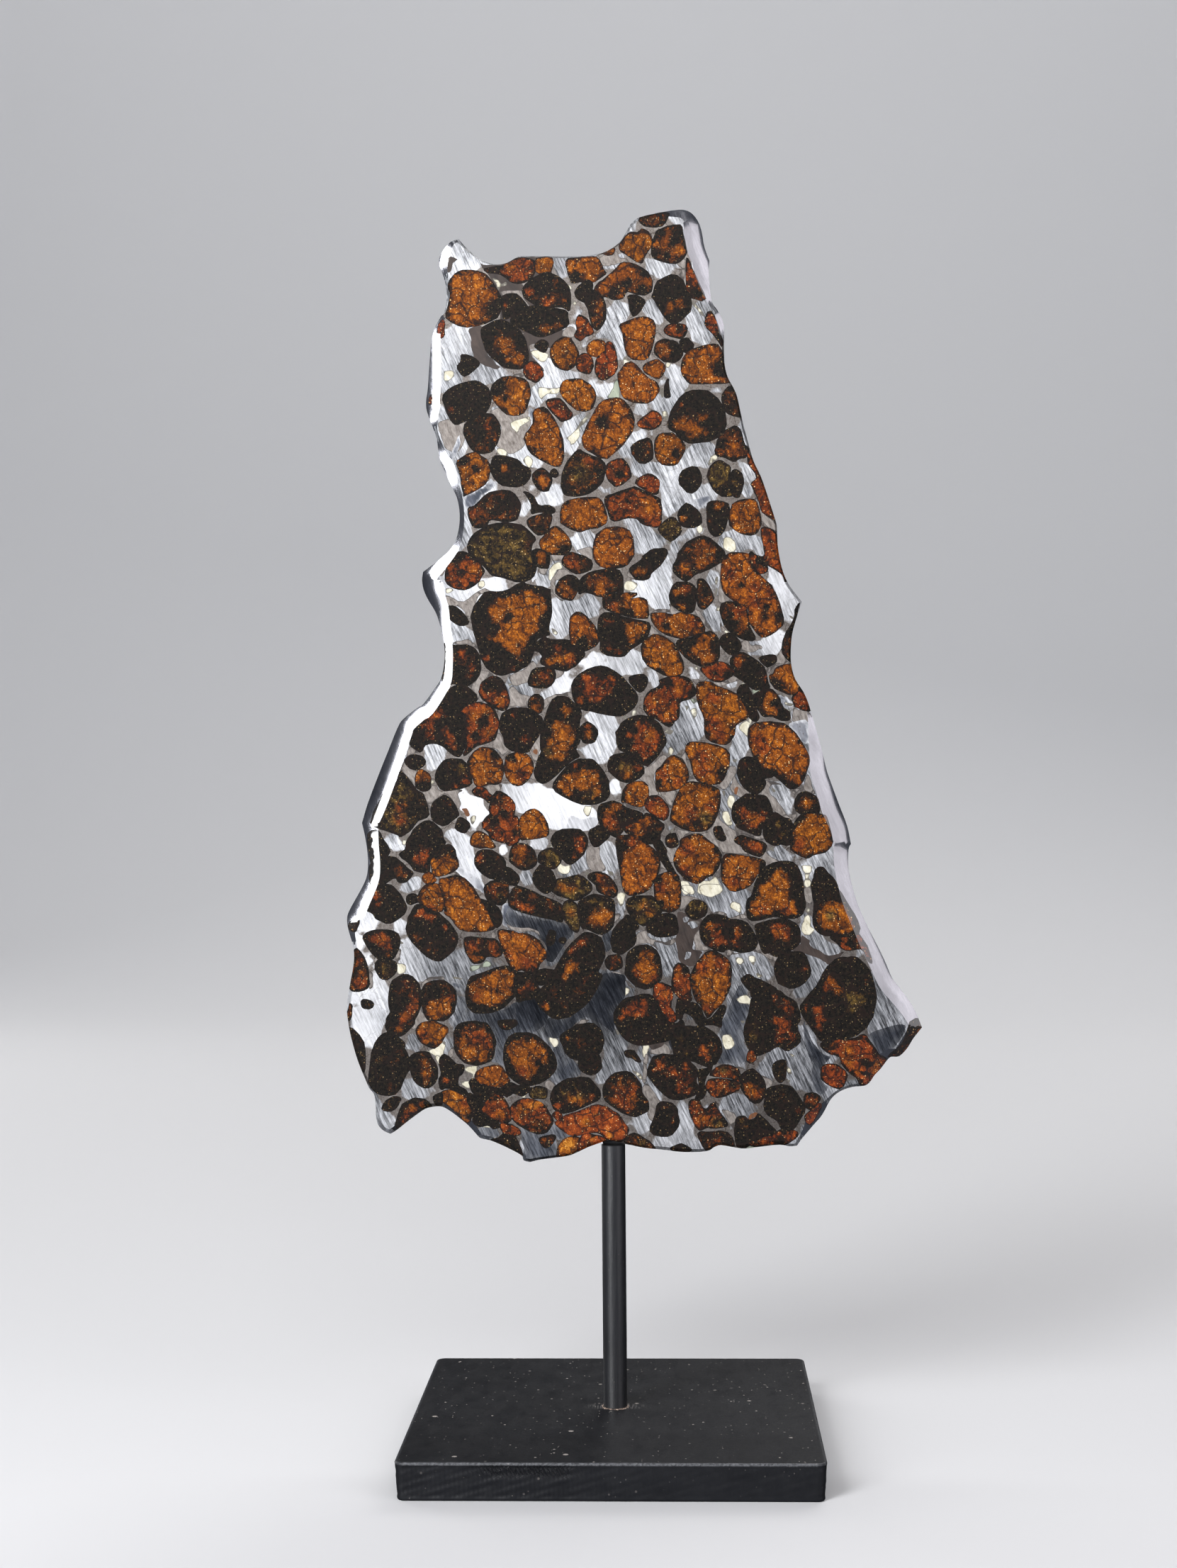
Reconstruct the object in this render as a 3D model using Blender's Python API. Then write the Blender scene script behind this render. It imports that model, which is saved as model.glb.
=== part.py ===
"""A polished slice of a stony-iron meteorite, standing upright on a black steel rod and base plate.

Three pieces: base_plate, post and meteorite_slice. Metres, +Z up. The slice faces -Y.
The origin is the middle of the base plate's underside, and the rod stands on the Z axis.
"""
import math

import bmesh
import bpy
from mathutils import Vector
from mathutils.geometry import delaunay_2d_cdt

# Sizes of the stand
PLATE_WIDTH = 0.100
PLATE_THICKNESS = 0.009
PLATE_CORNER_RADIUS = 0.0024
PLATE_WALL_LEAN = 0.0005
PLATE_TOP_CHAMFER = 0.0004
PLATE_FOOT_CHAMFER = 0.0006
CORNER_STEPS = 6
POST_DIAMETER = 0.006
POST_SIDES = 48
POST_SHOULDER_HEIGHT = 0.0748
TONGUE_LENGTH = 0.035
BORE_DEPTH = 0.006
PIECE_GAP = 0.0003

# Sizes of the slice. Its flat front face stands just proud of the rod.
SLICE_HEIGHT = 0.239
SLICE_BASE_HEIGHT = 0.0706
SLICE_THICKNESS = 0.004
SLICE_FRONT_Y = -0.0031
BACK_RIM_WIDTH = 0.0006
BACK_RIM_DEPTH = 0.0005
OUTLINE_STEPS = 2

# The front rim falls at its first slope, and where it is wide it rounds over further: the extra fall is
# the rounding times the square of the width past the first width. Its depth has a least value.
RIM_FIRST_SLOPE = math.tan(math.radians(17))
RIM_FIRST_WIDTH = 0.0019
RIM_ROUNDING = 90.0
RIM_DEPTH_LEAST = 0.0007

# The rim's inner edge: how far a corner point may be pushed in, in rim widths, and how far from the
# outline a point must stay to be kept.
MITRE_LIMIT = 1.4
RIM_KEEP_SHARE = 0.85

# The smooth sides of a round bar meet its ends at a sharp edge beyond this angle
SHARP_EDGE_ANGLE = math.radians(40)
TRIANGULATION_TOLERANCE = 1e-9

# Plain colours
BLACK_PAINT = (0.012, 0.013, 0.016)
PLATE_ROUGHNESS = 0.42
POST_ROUGHNESS = 0.33
STONE_COLOUR = (0.20, 0.13, 0.08)
STONE_ROUGHNESS = 0.25
STONE_METALLIC = 0.3

# How the photograph lies over the slice: the rod's column where it meets the slice, the slice's lowest
# and highest rows, and the small turn of the camera about its own axis.
ROD_COLUMN = 858.8
LOWEST_ROW = 1642.5
HIGHEST_ROW = 295.0
CAMERA_ROLL = math.radians(0.45)

# The slice's outline, clockwise from the tip of the upper left horn. Each stretch starts at a sharp
# corner and is a smooth curve up to the next stretch's first point. A point is its column and row in
# the photograph and the width of the ground rim there, in pixels.
TOP_EDGE = [
    (639.5, 334, 5), (652, 348, 3), (668.5, 361.5, 3), (680, 367, 3), (694, 370.5, 3), (708, 368, 3),
    (722, 360.5, 3), (733, 358.5, 3), (770, 359.5, 3), (810, 360, 3), (838, 356.5, 3), (853, 351, 3),
    (866.5, 341.5, 3), (873, 333.5, 3), (882, 317, 4), (887, 311.5, 4), (896.5, 305, 5), (925, 298.5, 7),
    (951.5, 295, 12), (963, 296, 16), (970, 299.5, 19), (976.5, 306.5, 22), (981.5, 315.5, 25),
    (985, 328.5, 26), (988, 346, 26)]
RIGHT_SHOULDER = [
    (995, 366, 25), (994, 386, 20), (996.5, 415, 10), (999, 427, 6)]
RIGHT_EDGE = [
    (1006, 437, 5), (1013, 451, 9), (1015.5, 464, 8), (1015.5, 490, 3), (1016.5, 515, 3), (1021, 533, 3),
    (1027.5, 545, 3), (1034, 560, 3), (1041, 592, 3), (1048.5, 621, 3), (1057, 651, 3), (1067, 672, 3),
    (1074.5, 693, 3), (1087, 732, 3), (1090, 744, 3), (1091, 768, 3), (1094, 789, 3), (1099, 809, 3),
    (1108, 828, 4)]
RIGHT_NECK = [
    (1125, 850.5, 4), (1117.5, 874, 5), (1111.5, 896, 4), (1109.5, 921, 3), (1110.5, 941, 3),
    (1116, 960, 3), (1127, 977, 3), (1134, 993, 4), (1140, 1013, 7), (1147, 1038, 13), (1154.5, 1064, 20),
    (1160, 1087, 24), (1168, 1110, 25), (1178.5, 1138, 27), (1189, 1166, 25)]
RIGHT_LOBE = [
    (1194.5, 1192, 25), (1191, 1200, 22), (1190.5, 1224, 20), (1195, 1247, 20), (1203, 1275, 20),
    (1213.5, 1300, 20), (1225, 1323, 22), (1241, 1355, 23), (1251.5, 1380, 22), (1260.5, 1392, 22),
    (1274.5, 1411, 20), (1285, 1429, 18)]
RIGHT_FOOT = [
    (1293.5, 1450, 15), (1281, 1466, 14), (1273, 1479, 14), (1261.5, 1490.5, 12), (1250, 1491.5, 12),
    (1244, 1497, 14), (1235.5, 1508.5, 16), (1227, 1517.5, 16), (1219.5, 1528, 12), (1211.5, 1532.5, 6),
    (1196, 1534, 4), (1181, 1539, 4), (1170, 1546.5, 4), (1163, 1555.5, 6), (1157, 1567, 12),
    (1151, 1577, 16), (1141.5, 1587.5, 14), (1132, 1598.5, 8), (1123, 1609.5, 5)]
UNDERSIDE = [
    (1118, 1617, 4), (1108, 1618, 4), (1094, 1616, 6), (1073, 1618, 7), (1045, 1621.5, 6),
    (1030, 1620, 4), (1011, 1617, 4), (1001, 1620, 4), (991, 1625.5, 4), (959, 1627, 5), (930, 1624, 5),
    (904, 1621.5, 4), (888, 1618.5, 4), (875, 1616, 4), (864, 1613, 4), (851, 1611, 4), (842, 1614, 4),
    (823, 1621, 4), (803, 1630.5, 4), (791, 1634, 4), (757, 1638.5, 4)]
LEFT_TOE = [
    (741, 1642.5, 5), (732, 1640, 5), (729, 1633, 5), (712.5, 1624, 6), (698.5, 1617.5, 6),
    (684.5, 1612, 6), (671, 1609, 6), (665, 1603.5, 7), (653.5, 1591, 9), (639.5, 1579.5, 9),
    (628, 1571, 8), (617, 1565, 6), (606, 1564.5, 5), (592, 1568, 7), (576, 1579, 9), (563, 1589, 9),
    (552.5, 1597.5, 7)]
LEFT_FOOT = [
    (543, 1603.5, 6), (534.5, 1600, 6), (526.5, 1593, 6), (522.5, 1582, 6), (521.5, 1560, 6),
    (519, 1547, 5), (512.5, 1539, 4), (506, 1524.5, 4), (495.5, 1498.5, 5), (486.5, 1467, 6),
    (482, 1443, 6), (480.6, 1424, 6), (484, 1397, 5), (489.5, 1367, 5), (490.7, 1350, 5), (489, 1336, 6),
    (485, 1323, 8), (481.5, 1310, 12), (480.4, 1296, 20), (484, 1285.5, 24), (493.5, 1268.5, 22),
    (503, 1251.5, 20), (508.6, 1237, 19), (510.2, 1219, 18), (508.5, 1198, 18), (505, 1179, 21)]
LEFT_RIM = [
    (501, 1163, 24), (508.5, 1136, 28), (524, 1095, 28), (539.5, 1057, 26), (551.5, 1028, 24),
    (560, 1015, 22), (580, 999.5, 20), (589, 993.5, 20), (606.5, 970, 18), (614.5, 957, 16),
    (618.5, 939, 13), (619.6, 920, 12), (617, 899, 13), (612, 879, 16), (606, 863, 21), (595.5, 846, 27),
    (588.5, 831, 30), (586, 817, 31)]
LEFT_NOTCH = [
    (588, 805.5, 26), (598.5, 798.5, 20), (611, 789.5, 16), (624.5, 778, 12), (632, 768, 10),
    (637.5, 754.5, 8), (640.5, 738, 7), (640.5, 720, 7), (637, 701.5, 8), (629.5, 685.5, 10),
    (618.5, 661.5, 14), (612, 645, 16), (608, 617, 18), (602.5, 601, 18), (594, 578.5, 20),
    (592.5, 564, 20), (595, 545, 19), (597.5, 510, 17), (600, 482, 14), (605, 460, 10), (614.5, 443, 7),
    (620, 433, 6), (622, 414, 6), (620.5, 398, 6), (615, 379, 6), (611, 368, 6), (613, 356, 7),
    (624, 341, 7), (631, 336, 6)]
OUTLINE = [TOP_EDGE, RIGHT_SHOULDER, RIGHT_EDGE, RIGHT_NECK, RIGHT_LOBE, RIGHT_FOOT,
           UNDERSIDE, LEFT_TOE, LEFT_FOOT, LEFT_RIM, LEFT_NOTCH]

METRES_PER_PIXEL = SLICE_HEIGHT / (LOWEST_ROW - HIGHEST_ROW)


def clear_scene():
    """Remove every object, so that the script starts from nothing."""
    for scene_object in list(bpy.data.objects):
        bpy.data.objects.remove(scene_object, do_unlink=True)


def make_material(name, colour, roughness, metallic):
    """A plain Principled material."""
    material = bpy.data.materials.new(name)
    material.use_nodes = True
    shader = material.node_tree.nodes["Principled BSDF"]
    shader.inputs["Base Color"].default_value = (*colour, 1.0)
    shader.inputs["Roughness"].default_value = roughness
    shader.inputs["Metallic"].default_value = metallic
    material.diffuse_color = (*colour, 1.0)
    return material


def make_object(name, mesh, material):
    """Put a mesh in the scene as a named object with its material."""
    mesh.materials.append(material)
    made = bpy.data.objects.new(name, mesh)
    bpy.context.scene.collection.objects.link(made)
    return made


def mesh_from(bm, name):
    """Turn a bmesh into a mesh with its faces pointing out."""
    bmesh.ops.recalc_face_normals(bm, faces=bm.faces)
    mesh = bpy.data.meshes.new(name)
    bm.to_mesh(mesh)
    bm.free()
    return mesh


def subtract(body, cutter):
    """Cut one object out of another and hide the cutter."""
    cutter.hide_render = True
    cutter.display_type = "WIRE"
    cut = body.modifiers.new(cutter.name, "BOOLEAN")
    cut.operation = "DIFFERENCE"
    cut.solver = "EXACT"
    cut.object = cutter


def cylinder_object(name, radius, bottom, top, material):
    """A closed round bar along the Z axis."""
    bm = bmesh.new()
    bmesh.ops.create_cone(bm, cap_ends=True, segments=POST_SIDES, radius1=radius, radius2=radius,
                          depth=top - bottom)
    bmesh.ops.translate(bm, verts=bm.verts, vec=(0, 0, (top + bottom) / 2))
    made = make_object(name, mesh_from(bm, name), material)
    made.data.shade_smooth()
    made.data.set_sharp_from_angle(angle=SHARP_EDGE_ANGLE)
    return made


def rounded_square(bm, width, radius, height):
    """A ring of vertices round a square with round corners, at one height."""
    ring = []
    reach = width / 2 - radius
    for corner in range(4):
        middle = math.radians(45 + 90 * corner)
        centre_x = math.copysign(reach, math.cos(middle))
        centre_y = math.copysign(reach, math.sin(middle))
        for step in range(CORNER_STEPS + 1):
            angle = math.radians(90 * corner + 90 * step / CORNER_STEPS)
            x = centre_x + radius * math.cos(angle)
            y = centre_y + radius * math.sin(angle)
            ring.append(bm.verts.new((x, y, height)))
    return ring


def build_base_plate():
    """The steel plate: walls that lean in towards the foot, small chamfers, and a blind bore for the rod."""
    levels = [
        (PLATE_WALL_LEAN + PLATE_FOOT_CHAMFER, 0.0),
        (PLATE_WALL_LEAN, PLATE_FOOT_CHAMFER),
        (0.0, PLATE_THICKNESS - PLATE_TOP_CHAMFER),
        (PLATE_TOP_CHAMFER, PLATE_THICKNESS)]
    bm = bmesh.new()
    rings = []
    for inset, height in levels:
        rings.append(rounded_square(bm, PLATE_WIDTH - 2 * inset, PLATE_CORNER_RADIUS - inset, height))
    for lower, upper in zip(rings, rings[1:]):
        for i in range(len(lower)):
            j = (i + 1) % len(lower)
            bm.faces.new((lower[i], lower[j], upper[j], upper[i]))
    bm.faces.new(list(reversed(rings[0])))
    bm.faces.new(rings[-1])
    black = make_material("black_plate_paint", BLACK_PAINT, PLATE_ROUGHNESS, 0.0)
    plate = make_object("base_plate", mesh_from(bm, "base_plate"), black)
    bore = cylinder_object("rod_bore", POST_DIAMETER / 2 + PIECE_GAP, PLATE_THICKNESS - BORE_DEPTH,
                           PLATE_THICKNESS + BORE_DEPTH, black)
    subtract(plate, bore)


def build_post():
    """The steel rod. Its top is milled to a half-round tongue that stands behind the slice."""
    bottom = PLATE_THICKNESS - BORE_DEPTH + PIECE_GAP
    top = POST_SHOULDER_HEIGHT + TONGUE_LENGTH
    black = make_material("black_post_paint", BLACK_PAINT, POST_ROUGHNESS, 0.0)
    post = cylinder_object("post", POST_DIAMETER / 2, bottom, top, black)
    tongue_front = SLICE_FRONT_Y + SLICE_THICKNESS + PIECE_GAP
    bm = bmesh.new()
    bmesh.ops.create_cube(bm, size=1.0)
    bmesh.ops.scale(bm, verts=bm.verts, vec=(2 * POST_DIAMETER, 2 * POST_DIAMETER, 2 * TONGUE_LENGTH))
    centre = (0, tongue_front - POST_DIAMETER, POST_SHOULDER_HEIGHT + TONGUE_LENGTH)
    bmesh.ops.translate(bm, verts=bm.verts, vec=centre)
    milling = make_object("tongue_milling", mesh_from(bm, "tongue_milling"), black)
    subtract(post, milling)


def smooth_stretch(points):
    """Points along a smooth curve through one stretch of the outline, without its last point."""
    points = [Vector(point) for point in points]
    before = 2 * points[0] - points[1]
    after = 2 * points[-1] - points[-2]
    path = [before] + points + [after]
    curve = []
    for a, b, c, d in zip(path, path[1:], path[2:], path[3:]):
        for step in range(OUTLINE_STEPS):
            t = step / OUTLINE_STEPS
            bend = (2 * a - 5 * b + 4 * c - d) * t * t + (3 * b - a - 3 * c + d) * t ** 3
            curve.append(0.5 * (2 * b + (c - a) * t + bend))
    return curve


def outline_in_metres():
    """The whole outline as (x, z) points, and the ground rim's width at each."""
    cos_roll = math.cos(CAMERA_ROLL)
    sin_roll = math.sin(CAMERA_ROLL)
    outline = []
    widths = []
    for number, stretch in enumerate(OUTLINE):
        corner = OUTLINE[(number + 1) % len(OUTLINE)][0]
        for column, row, width in smooth_stretch(stretch + [corner]):
            right = (column - ROD_COLUMN) * METRES_PER_PIXEL
            up = (LOWEST_ROW - row) * METRES_PER_PIXEL
            x = right * cos_roll + up * sin_roll
            z = SLICE_BASE_HEIGHT + up * cos_roll - right * sin_roll
            outline.append(Vector((x, z)))
            widths.append(width * METRES_PER_PIXEL)
    return outline, widths


def distance_to_outline(point, outline):
    """The shortest distance from a point to the closed outline."""
    nearest = math.inf
    for start, end in zip(outline, outline[1:] + outline[:1]):
        along = end - start
        share = max(0.0, min(1.0, (point - start).dot(along) / along.length_squared))
        nearest = min(nearest, (point - start - along * share).length)
    return nearest


def inner_ring(outline, widths):
    """The outline moved inwards by the rim's width. Points crowded out at tight corners are dropped."""
    ring = []
    count = len(outline)
    for i, point in enumerate(outline):
        before = (point - outline[i - 1]).normalized()
        after = (outline[(i + 1) % count] - point).normalized()
        tangent = (before + after).normalized()
        inwards = Vector((tangent.y, -tangent.x))
        mitre = 1.0 / max(tangent.dot(after), 1.0 / MITRE_LIMIT)
        moved = point + inwards * widths[i] * mitre
        if distance_to_outline(moved, outline) > RIM_KEEP_SHARE * widths[i]:
            ring.append(moved)
    return ring


def rim_depth(width):
    """How far the front rim has fallen at the outline, for its width there."""
    past_first = max(width - RIM_FIRST_WIDTH, 0.0)
    return max(RIM_DEPTH_LEAST, RIM_FIRST_SLOPE * width + RIM_ROUNDING * past_first ** 2)


def add_face_with_rim(bm, outer, inner, y_inner):
    """Fill the flat face inside the inner ring and the sloping rim between the two rings."""
    flat = [Vector((vert.co.x, vert.co.z)) for vert in outer] + inner
    outer_face = list(range(len(outer)))
    inner_face = list(range(len(outer), len(flat)))
    triangles = delaunay_2d_cdt(flat, [], [outer_face, inner_face], 1, TRIANGULATION_TOLERANCE)[2]
    verts = list(outer)
    for point in inner:
        verts.append(bm.verts.new((point.x, y_inner, point.y)))
    for triangle in triangles:
        bm.faces.new([verts[index] for index in triangle])


def build_slice():
    """The slice: two flat polished faces, a ground rim round each and the narrow edge between them."""
    outline, widths = outline_in_metres()
    back_y = SLICE_FRONT_Y + SLICE_THICKNESS
    bm = bmesh.new()
    front = []
    back = []
    for point, width in zip(outline, widths):
        front.append(bm.verts.new((point.x, SLICE_FRONT_Y + rim_depth(width), point.y)))
        back.append(bm.verts.new((point.x, back_y - BACK_RIM_DEPTH, point.y)))
    for i in range(len(outline)):
        j = (i + 1) % len(outline)
        bm.faces.new((front[i], front[j], back[j], back[i]))
    add_face_with_rim(bm, front, inner_ring(outline, widths), SLICE_FRONT_Y)
    back_widths = [BACK_RIM_WIDTH] * len(outline)
    add_face_with_rim(bm, back, inner_ring(outline, back_widths), back_y)
    stone = make_material("olivine_and_iron", STONE_COLOUR, STONE_ROUGHNESS, STONE_METALLIC)
    make_object("meteorite_slice", mesh_from(bm, "meteorite_slice"), stone)


clear_scene()
build_base_plate()
build_post()
build_slice()
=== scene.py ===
import math

import bpy
import numpy as np
from mathutils import Matrix, Vector
from mathutils.geometry import delaunay_2d_cdt


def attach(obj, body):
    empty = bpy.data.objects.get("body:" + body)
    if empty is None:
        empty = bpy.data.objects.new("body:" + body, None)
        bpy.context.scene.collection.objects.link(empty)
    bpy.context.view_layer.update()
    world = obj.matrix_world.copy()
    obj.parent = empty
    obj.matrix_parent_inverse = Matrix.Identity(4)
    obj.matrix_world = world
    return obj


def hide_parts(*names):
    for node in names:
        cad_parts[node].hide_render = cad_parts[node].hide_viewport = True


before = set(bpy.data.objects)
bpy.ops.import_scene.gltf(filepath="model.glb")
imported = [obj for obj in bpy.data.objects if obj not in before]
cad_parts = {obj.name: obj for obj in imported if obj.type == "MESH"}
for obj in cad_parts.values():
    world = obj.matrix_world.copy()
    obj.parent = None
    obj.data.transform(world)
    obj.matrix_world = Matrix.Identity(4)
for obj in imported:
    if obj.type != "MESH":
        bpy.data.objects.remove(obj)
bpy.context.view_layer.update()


# The camera stands at the photograph's place: a little right of the rod, level with the middle of the
# slice, and turned a touch to the left. The whole upright frame is 1661 by 2212 pixels.
CAMERA_PLACE = Vector((0.016, -0.582, 0.162))
CAMERA_TURN = math.radians(2.12)
CAMERA_PITCH = math.radians(90.35)
CAMERA_ROLL = math.radians(0.45)
LENS_MM = 53.06
SENSOR_MM = 36.0


def show(name, data):
    """An object made from its data and put in the scene."""
    shown = bpy.data.objects.new(name, data)
    bpy.context.scene.collection.objects.link(shown)
    return shown


camera_data = bpy.data.cameras.new("camera")
camera_data.sensor_fit = "VERTICAL"
camera_data.sensor_height = SENSOR_MM
camera_data.lens = LENS_MM
camera_data.clip_start = 0.01
camera = show("camera", camera_data)
aim = Matrix.Rotation(CAMERA_TURN, 4, "Z") @ Matrix.Rotation(CAMERA_PITCH, 4, "X")
camera.matrix_world = Matrix.Translation(CAMERA_PLACE) @ aim @ Matrix.Rotation(-CAMERA_ROLL, 4, "Z")
bpy.context.scene.camera = camera
bpy.context.scene.view_settings.view_transform = "Standard"


# Plain soft studio light: a tall bright box at the left, a weaker one at the right, a wide one above
# the camera, two behind the slice and one on the backdrop. Pale surroundings fill the rest.
def softbox(name, place, target, size, radiance, colour):
    """A rectangular light whose power is its radiance times pi times its area."""
    light = bpy.data.lights.new(name, "AREA")
    light.shape = "RECTANGLE"
    light.size = size[0]
    light.size_y = size[1]
    light.energy = radiance * math.pi * size[0] * size[1]
    light.color = colour
    box = show(name, light)
    box.location = place
    box.rotation_euler = (Vector(target) - Vector(place)).to_track_quat("-Z", "Y").to_euler()
    box.visible_camera = False


softbox("left_softbox", (-0.58, -0.80, 0.50), (0, 0, 0.17), (0.34, 1.04), 12.0, (0.97, 0.98, 1.0))
softbox("right_softbox", (0.78, -0.62, 0.45), (0, 0, 0.17), (0.6, 1.0), 1.6, (1.0, 0.96, 0.99))
softbox("front_softbox", (-0.15, -1.15, 0.98), (0, 0, 0.18), (1.1, 0.55), 4.0, (1.0, 0.99, 0.98))
softbox("back_softbox", (0.5, 1.1, 1.2), (0, 0, 0.15), (1.0, 0.8), 2.6, (1.0, 0.98, 0.96))
softbox("rear_softbox", (-1.0, 0.85, 0.35), (0, 0, 0.17), (0.5, 0.8), 3.0, (1.0, 0.99, 0.98))
softbox("backdrop_light", (0, 1.0, 2.6), (0, 2.6, 0.8), (3.0, 0.6), 5.0, (1.0, 1.0, 1.0))


def add_node(material, kind, inputs, **settings):
    """One shader node. A plain value is set on its socket, and another node's output is wired to it."""
    made_node = material.node_tree.nodes.new(kind)
    for setting, value in settings.items():
        setattr(made_node, setting, value)
    for socket, value in inputs.items():
        if isinstance(value, bpy.types.NodeSocket):
            material.node_tree.links.new(value, made_node.inputs[socket])
        else:
            made_node.inputs[socket].default_value = value
    return made_node


def range_of(material, value, low_in, high_in, low_out=0.0, high_out=1.0):
    """A value moved from one range to another and held within it."""
    return add_node(material, "ShaderNodeMapRange", {0: value, 1: low_in, 2: high_in, 3: low_out,
                                                     4: high_out}).outputs[0]


# The surroundings look pale, and light the object only dimly, least from behind, so that the polished
# faces and the plate stay deep
DIM_LIGHTING = (0.105, 0.113, 0.135, 1.0)
PALE_BACKGROUND = (0.60, 0.60, 0.61, 1.0)
LIGHTING_BEHIND = 0.2
world = bpy.data.worlds.new("studio")
world.use_nodes = True
bpy.context.scene.world = world
direction = add_node(world, "ShaderNodeTexCoord", {}).outputs["Generated"]
direction_y = add_node(world, "ShaderNodeSeparateXYZ", {0: direction}).outputs["Y"]
lighting_strength = range_of(world, direction_y, -0.3, 0.3, 1.0, LIGHTING_BEHIND)
lighting = add_node(world, "ShaderNodeBackground", {0: DIM_LIGHTING, 1: lighting_strength})
seen = add_node(world, "ShaderNodeBackground", {0: PALE_BACKGROUND})
seen_share = add_node(world, "ShaderNodeLightPath", {}).outputs["Is Camera Ray"]
surroundings = add_node(world, "ShaderNodeMixShader",
                        {0: seen_share, 1: lighting.outputs[0], 2: seen.outputs[0]})
world.node_tree.links.new(surroundings.outputs[0], world.node_tree.nodes["World Output"].inputs["Surface"])

# The pale floor runs far forward and rises behind the object in one smooth sweep. The polished faces
# mirror the dim surroundings and not the floor, as they do in the photograph.
SWEEP_START = 1.1
SWEEP_RADIUS = 1.6
FLOOR_REACH = 5.0
BACKDROP_HEIGHT = 4.0
turn = np.linspace(0, math.pi / 2, 25)
floor_y = np.concatenate([[-FLOOR_REACH], SWEEP_START + SWEEP_RADIUS * np.sin(turn),
                          [SWEEP_START + SWEEP_RADIUS]])
floor_z = np.concatenate([[0.0], SWEEP_RADIUS * (1 - np.cos(turn)), [BACKDROP_HEIGHT]])
floor_points = np.stack(np.broadcast_arrays((-FLOOR_REACH, FLOOR_REACH), floor_y[:, None], floor_z[:, None]),
                        axis=-1).reshape(-1, 3)
first = np.arange(len(floor_y) - 1)[:, None] * 2


def mesh_from(name, points, faces):
    """A smooth-shaded mesh from arrays of points and faces."""
    mesh = bpy.data.meshes.new(name)
    mesh.vertices.add(len(points))
    mesh.vertices.foreach_set("co", np.asarray(points, dtype=np.float32).ravel())
    mesh.loops.add(faces.size)
    mesh.loops.foreach_set("vertex_index", faces.astype(np.int32).ravel())
    mesh.polygons.add(len(faces))
    mesh.polygons.foreach_set("loop_start", np.arange(0, faces.size, faces.shape[1], dtype=np.int32))
    mesh.update(calc_edges=True)
    mesh.shade_smooth()
    return mesh


def new_material(name):
    """An empty material with a Principled shader."""
    material = bpy.data.materials.new(name)
    material.use_nodes = True
    return material


def finish_material(material, **values):
    """Sets the Principled shader's sockets by name, with underscores for spaces, or wires them."""
    shader = material.node_tree.nodes["Principled BSDF"]
    for socket, value in values.items():
        target = shader.inputs[socket.replace("_", " ")]
        if isinstance(value, bpy.types.NodeSocket):
            material.node_tree.links.new(value, target)
        else:
            target.default_value = value


# Far to the front and sides, where no light reaches, the paper glows a little, so that it stays pale.
# How far away a place is counts its distance to the side and forwards, and not behind or above.
PAPER_COLOUR = (0.70, 0.70, 0.71, 1.0)
floor_paper = new_material("pale_paper")
paper_place = add_node(floor_paper, "ShaderNodeTexCoord", {}).outputs["Object"]
ahead = add_node(floor_paper, "ShaderNodeVectorMath", {0: paper_place, 1: (9.0, 0.0, 0.0)},
                 operation="MINIMUM").outputs[0]
away = add_node(floor_paper, "ShaderNodeVectorMath", {0: ahead}, operation="LENGTH").outputs["Value"]
finish_material(floor_paper, Base_Color=PAPER_COLOUR, Roughness=0.9, Emission_Color=(1.0, 1.0, 1.01, 1.0),
                Emission_Strength=range_of(floor_paper, away, 0.9, 2.6, 0.0, 0.3))
floor_mesh = mesh_from("floor", floor_points, first + (0, 1, 3, 2))
floor_mesh.materials.append(floor_paper)
floor = show("floor", floor_mesh)
floor.visible_glossy = False


# The meteorite slice: one natural piece, sawn 4 mm thick, lapped flat and polished. Amber to black
# olivine crystals lie flush in bright nickel-iron, and the broken outline is ground to a glossy rim.
# It is bonded to the rod's tongue, which is hidden behind it.
SLICE_HEIGHT = 0.239
SLICE_BASE_HEIGHT = 0.0706
SLICE_THICKNESS = 0.004
SLICE_FRONT_Y = -0.0031
RIM_FIRST_SLOPE = math.tan(math.radians(17))
RIM_FIRST_WIDTH = 0.0019
RIM_ROUNDING = 90.0
RIM_DEPTH_LEAST = 0.0007
BACK_RIM_WIDTH = 0.0006
BACK_RIM_DEPTH = 0.0005

# How the photograph lies over the slice, in its pixels: the rod's column, and the slice's lowest and
# highest rows.
ROD_COLUMN = 858.8
LOWEST_ROW = 1642.5
HIGHEST_ROW = 295.0
METRES_PER_PIXEL = SLICE_HEIGHT / (LOWEST_ROW - HIGHEST_ROW)

# The outline, clockwise from the tip of the upper left horn. Each stretch starts at a sharp corner and
# is a smooth curve. A point is its column and row in the photograph and the rim's width, in pixels.
TOP_EDGE = [
    (639.5, 334, 5), (652, 348, 3), (668.5, 361.5, 3), (680, 367, 3), (694, 370.5, 3), (708, 368, 3),
    (722, 360.5, 3), (733, 358.5, 3), (770, 359.5, 3), (810, 360, 3), (838, 356.5, 3), (853, 351, 3),
    (866.5, 341.5, 3), (873, 333.5, 3), (882, 317, 4), (887, 311.5, 4), (896.5, 305, 5), (925, 298.5, 7),
    (951.5, 295, 12), (963, 296, 16), (970, 299.5, 19), (976.5, 306.5, 22), (981.5, 315.5, 25),
    (985, 328.5, 26), (988, 346, 26)]
RIGHT_SHOULDER = [
    (995, 366, 25), (994, 386, 20), (996.5, 415, 10), (999, 427, 6)]
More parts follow.
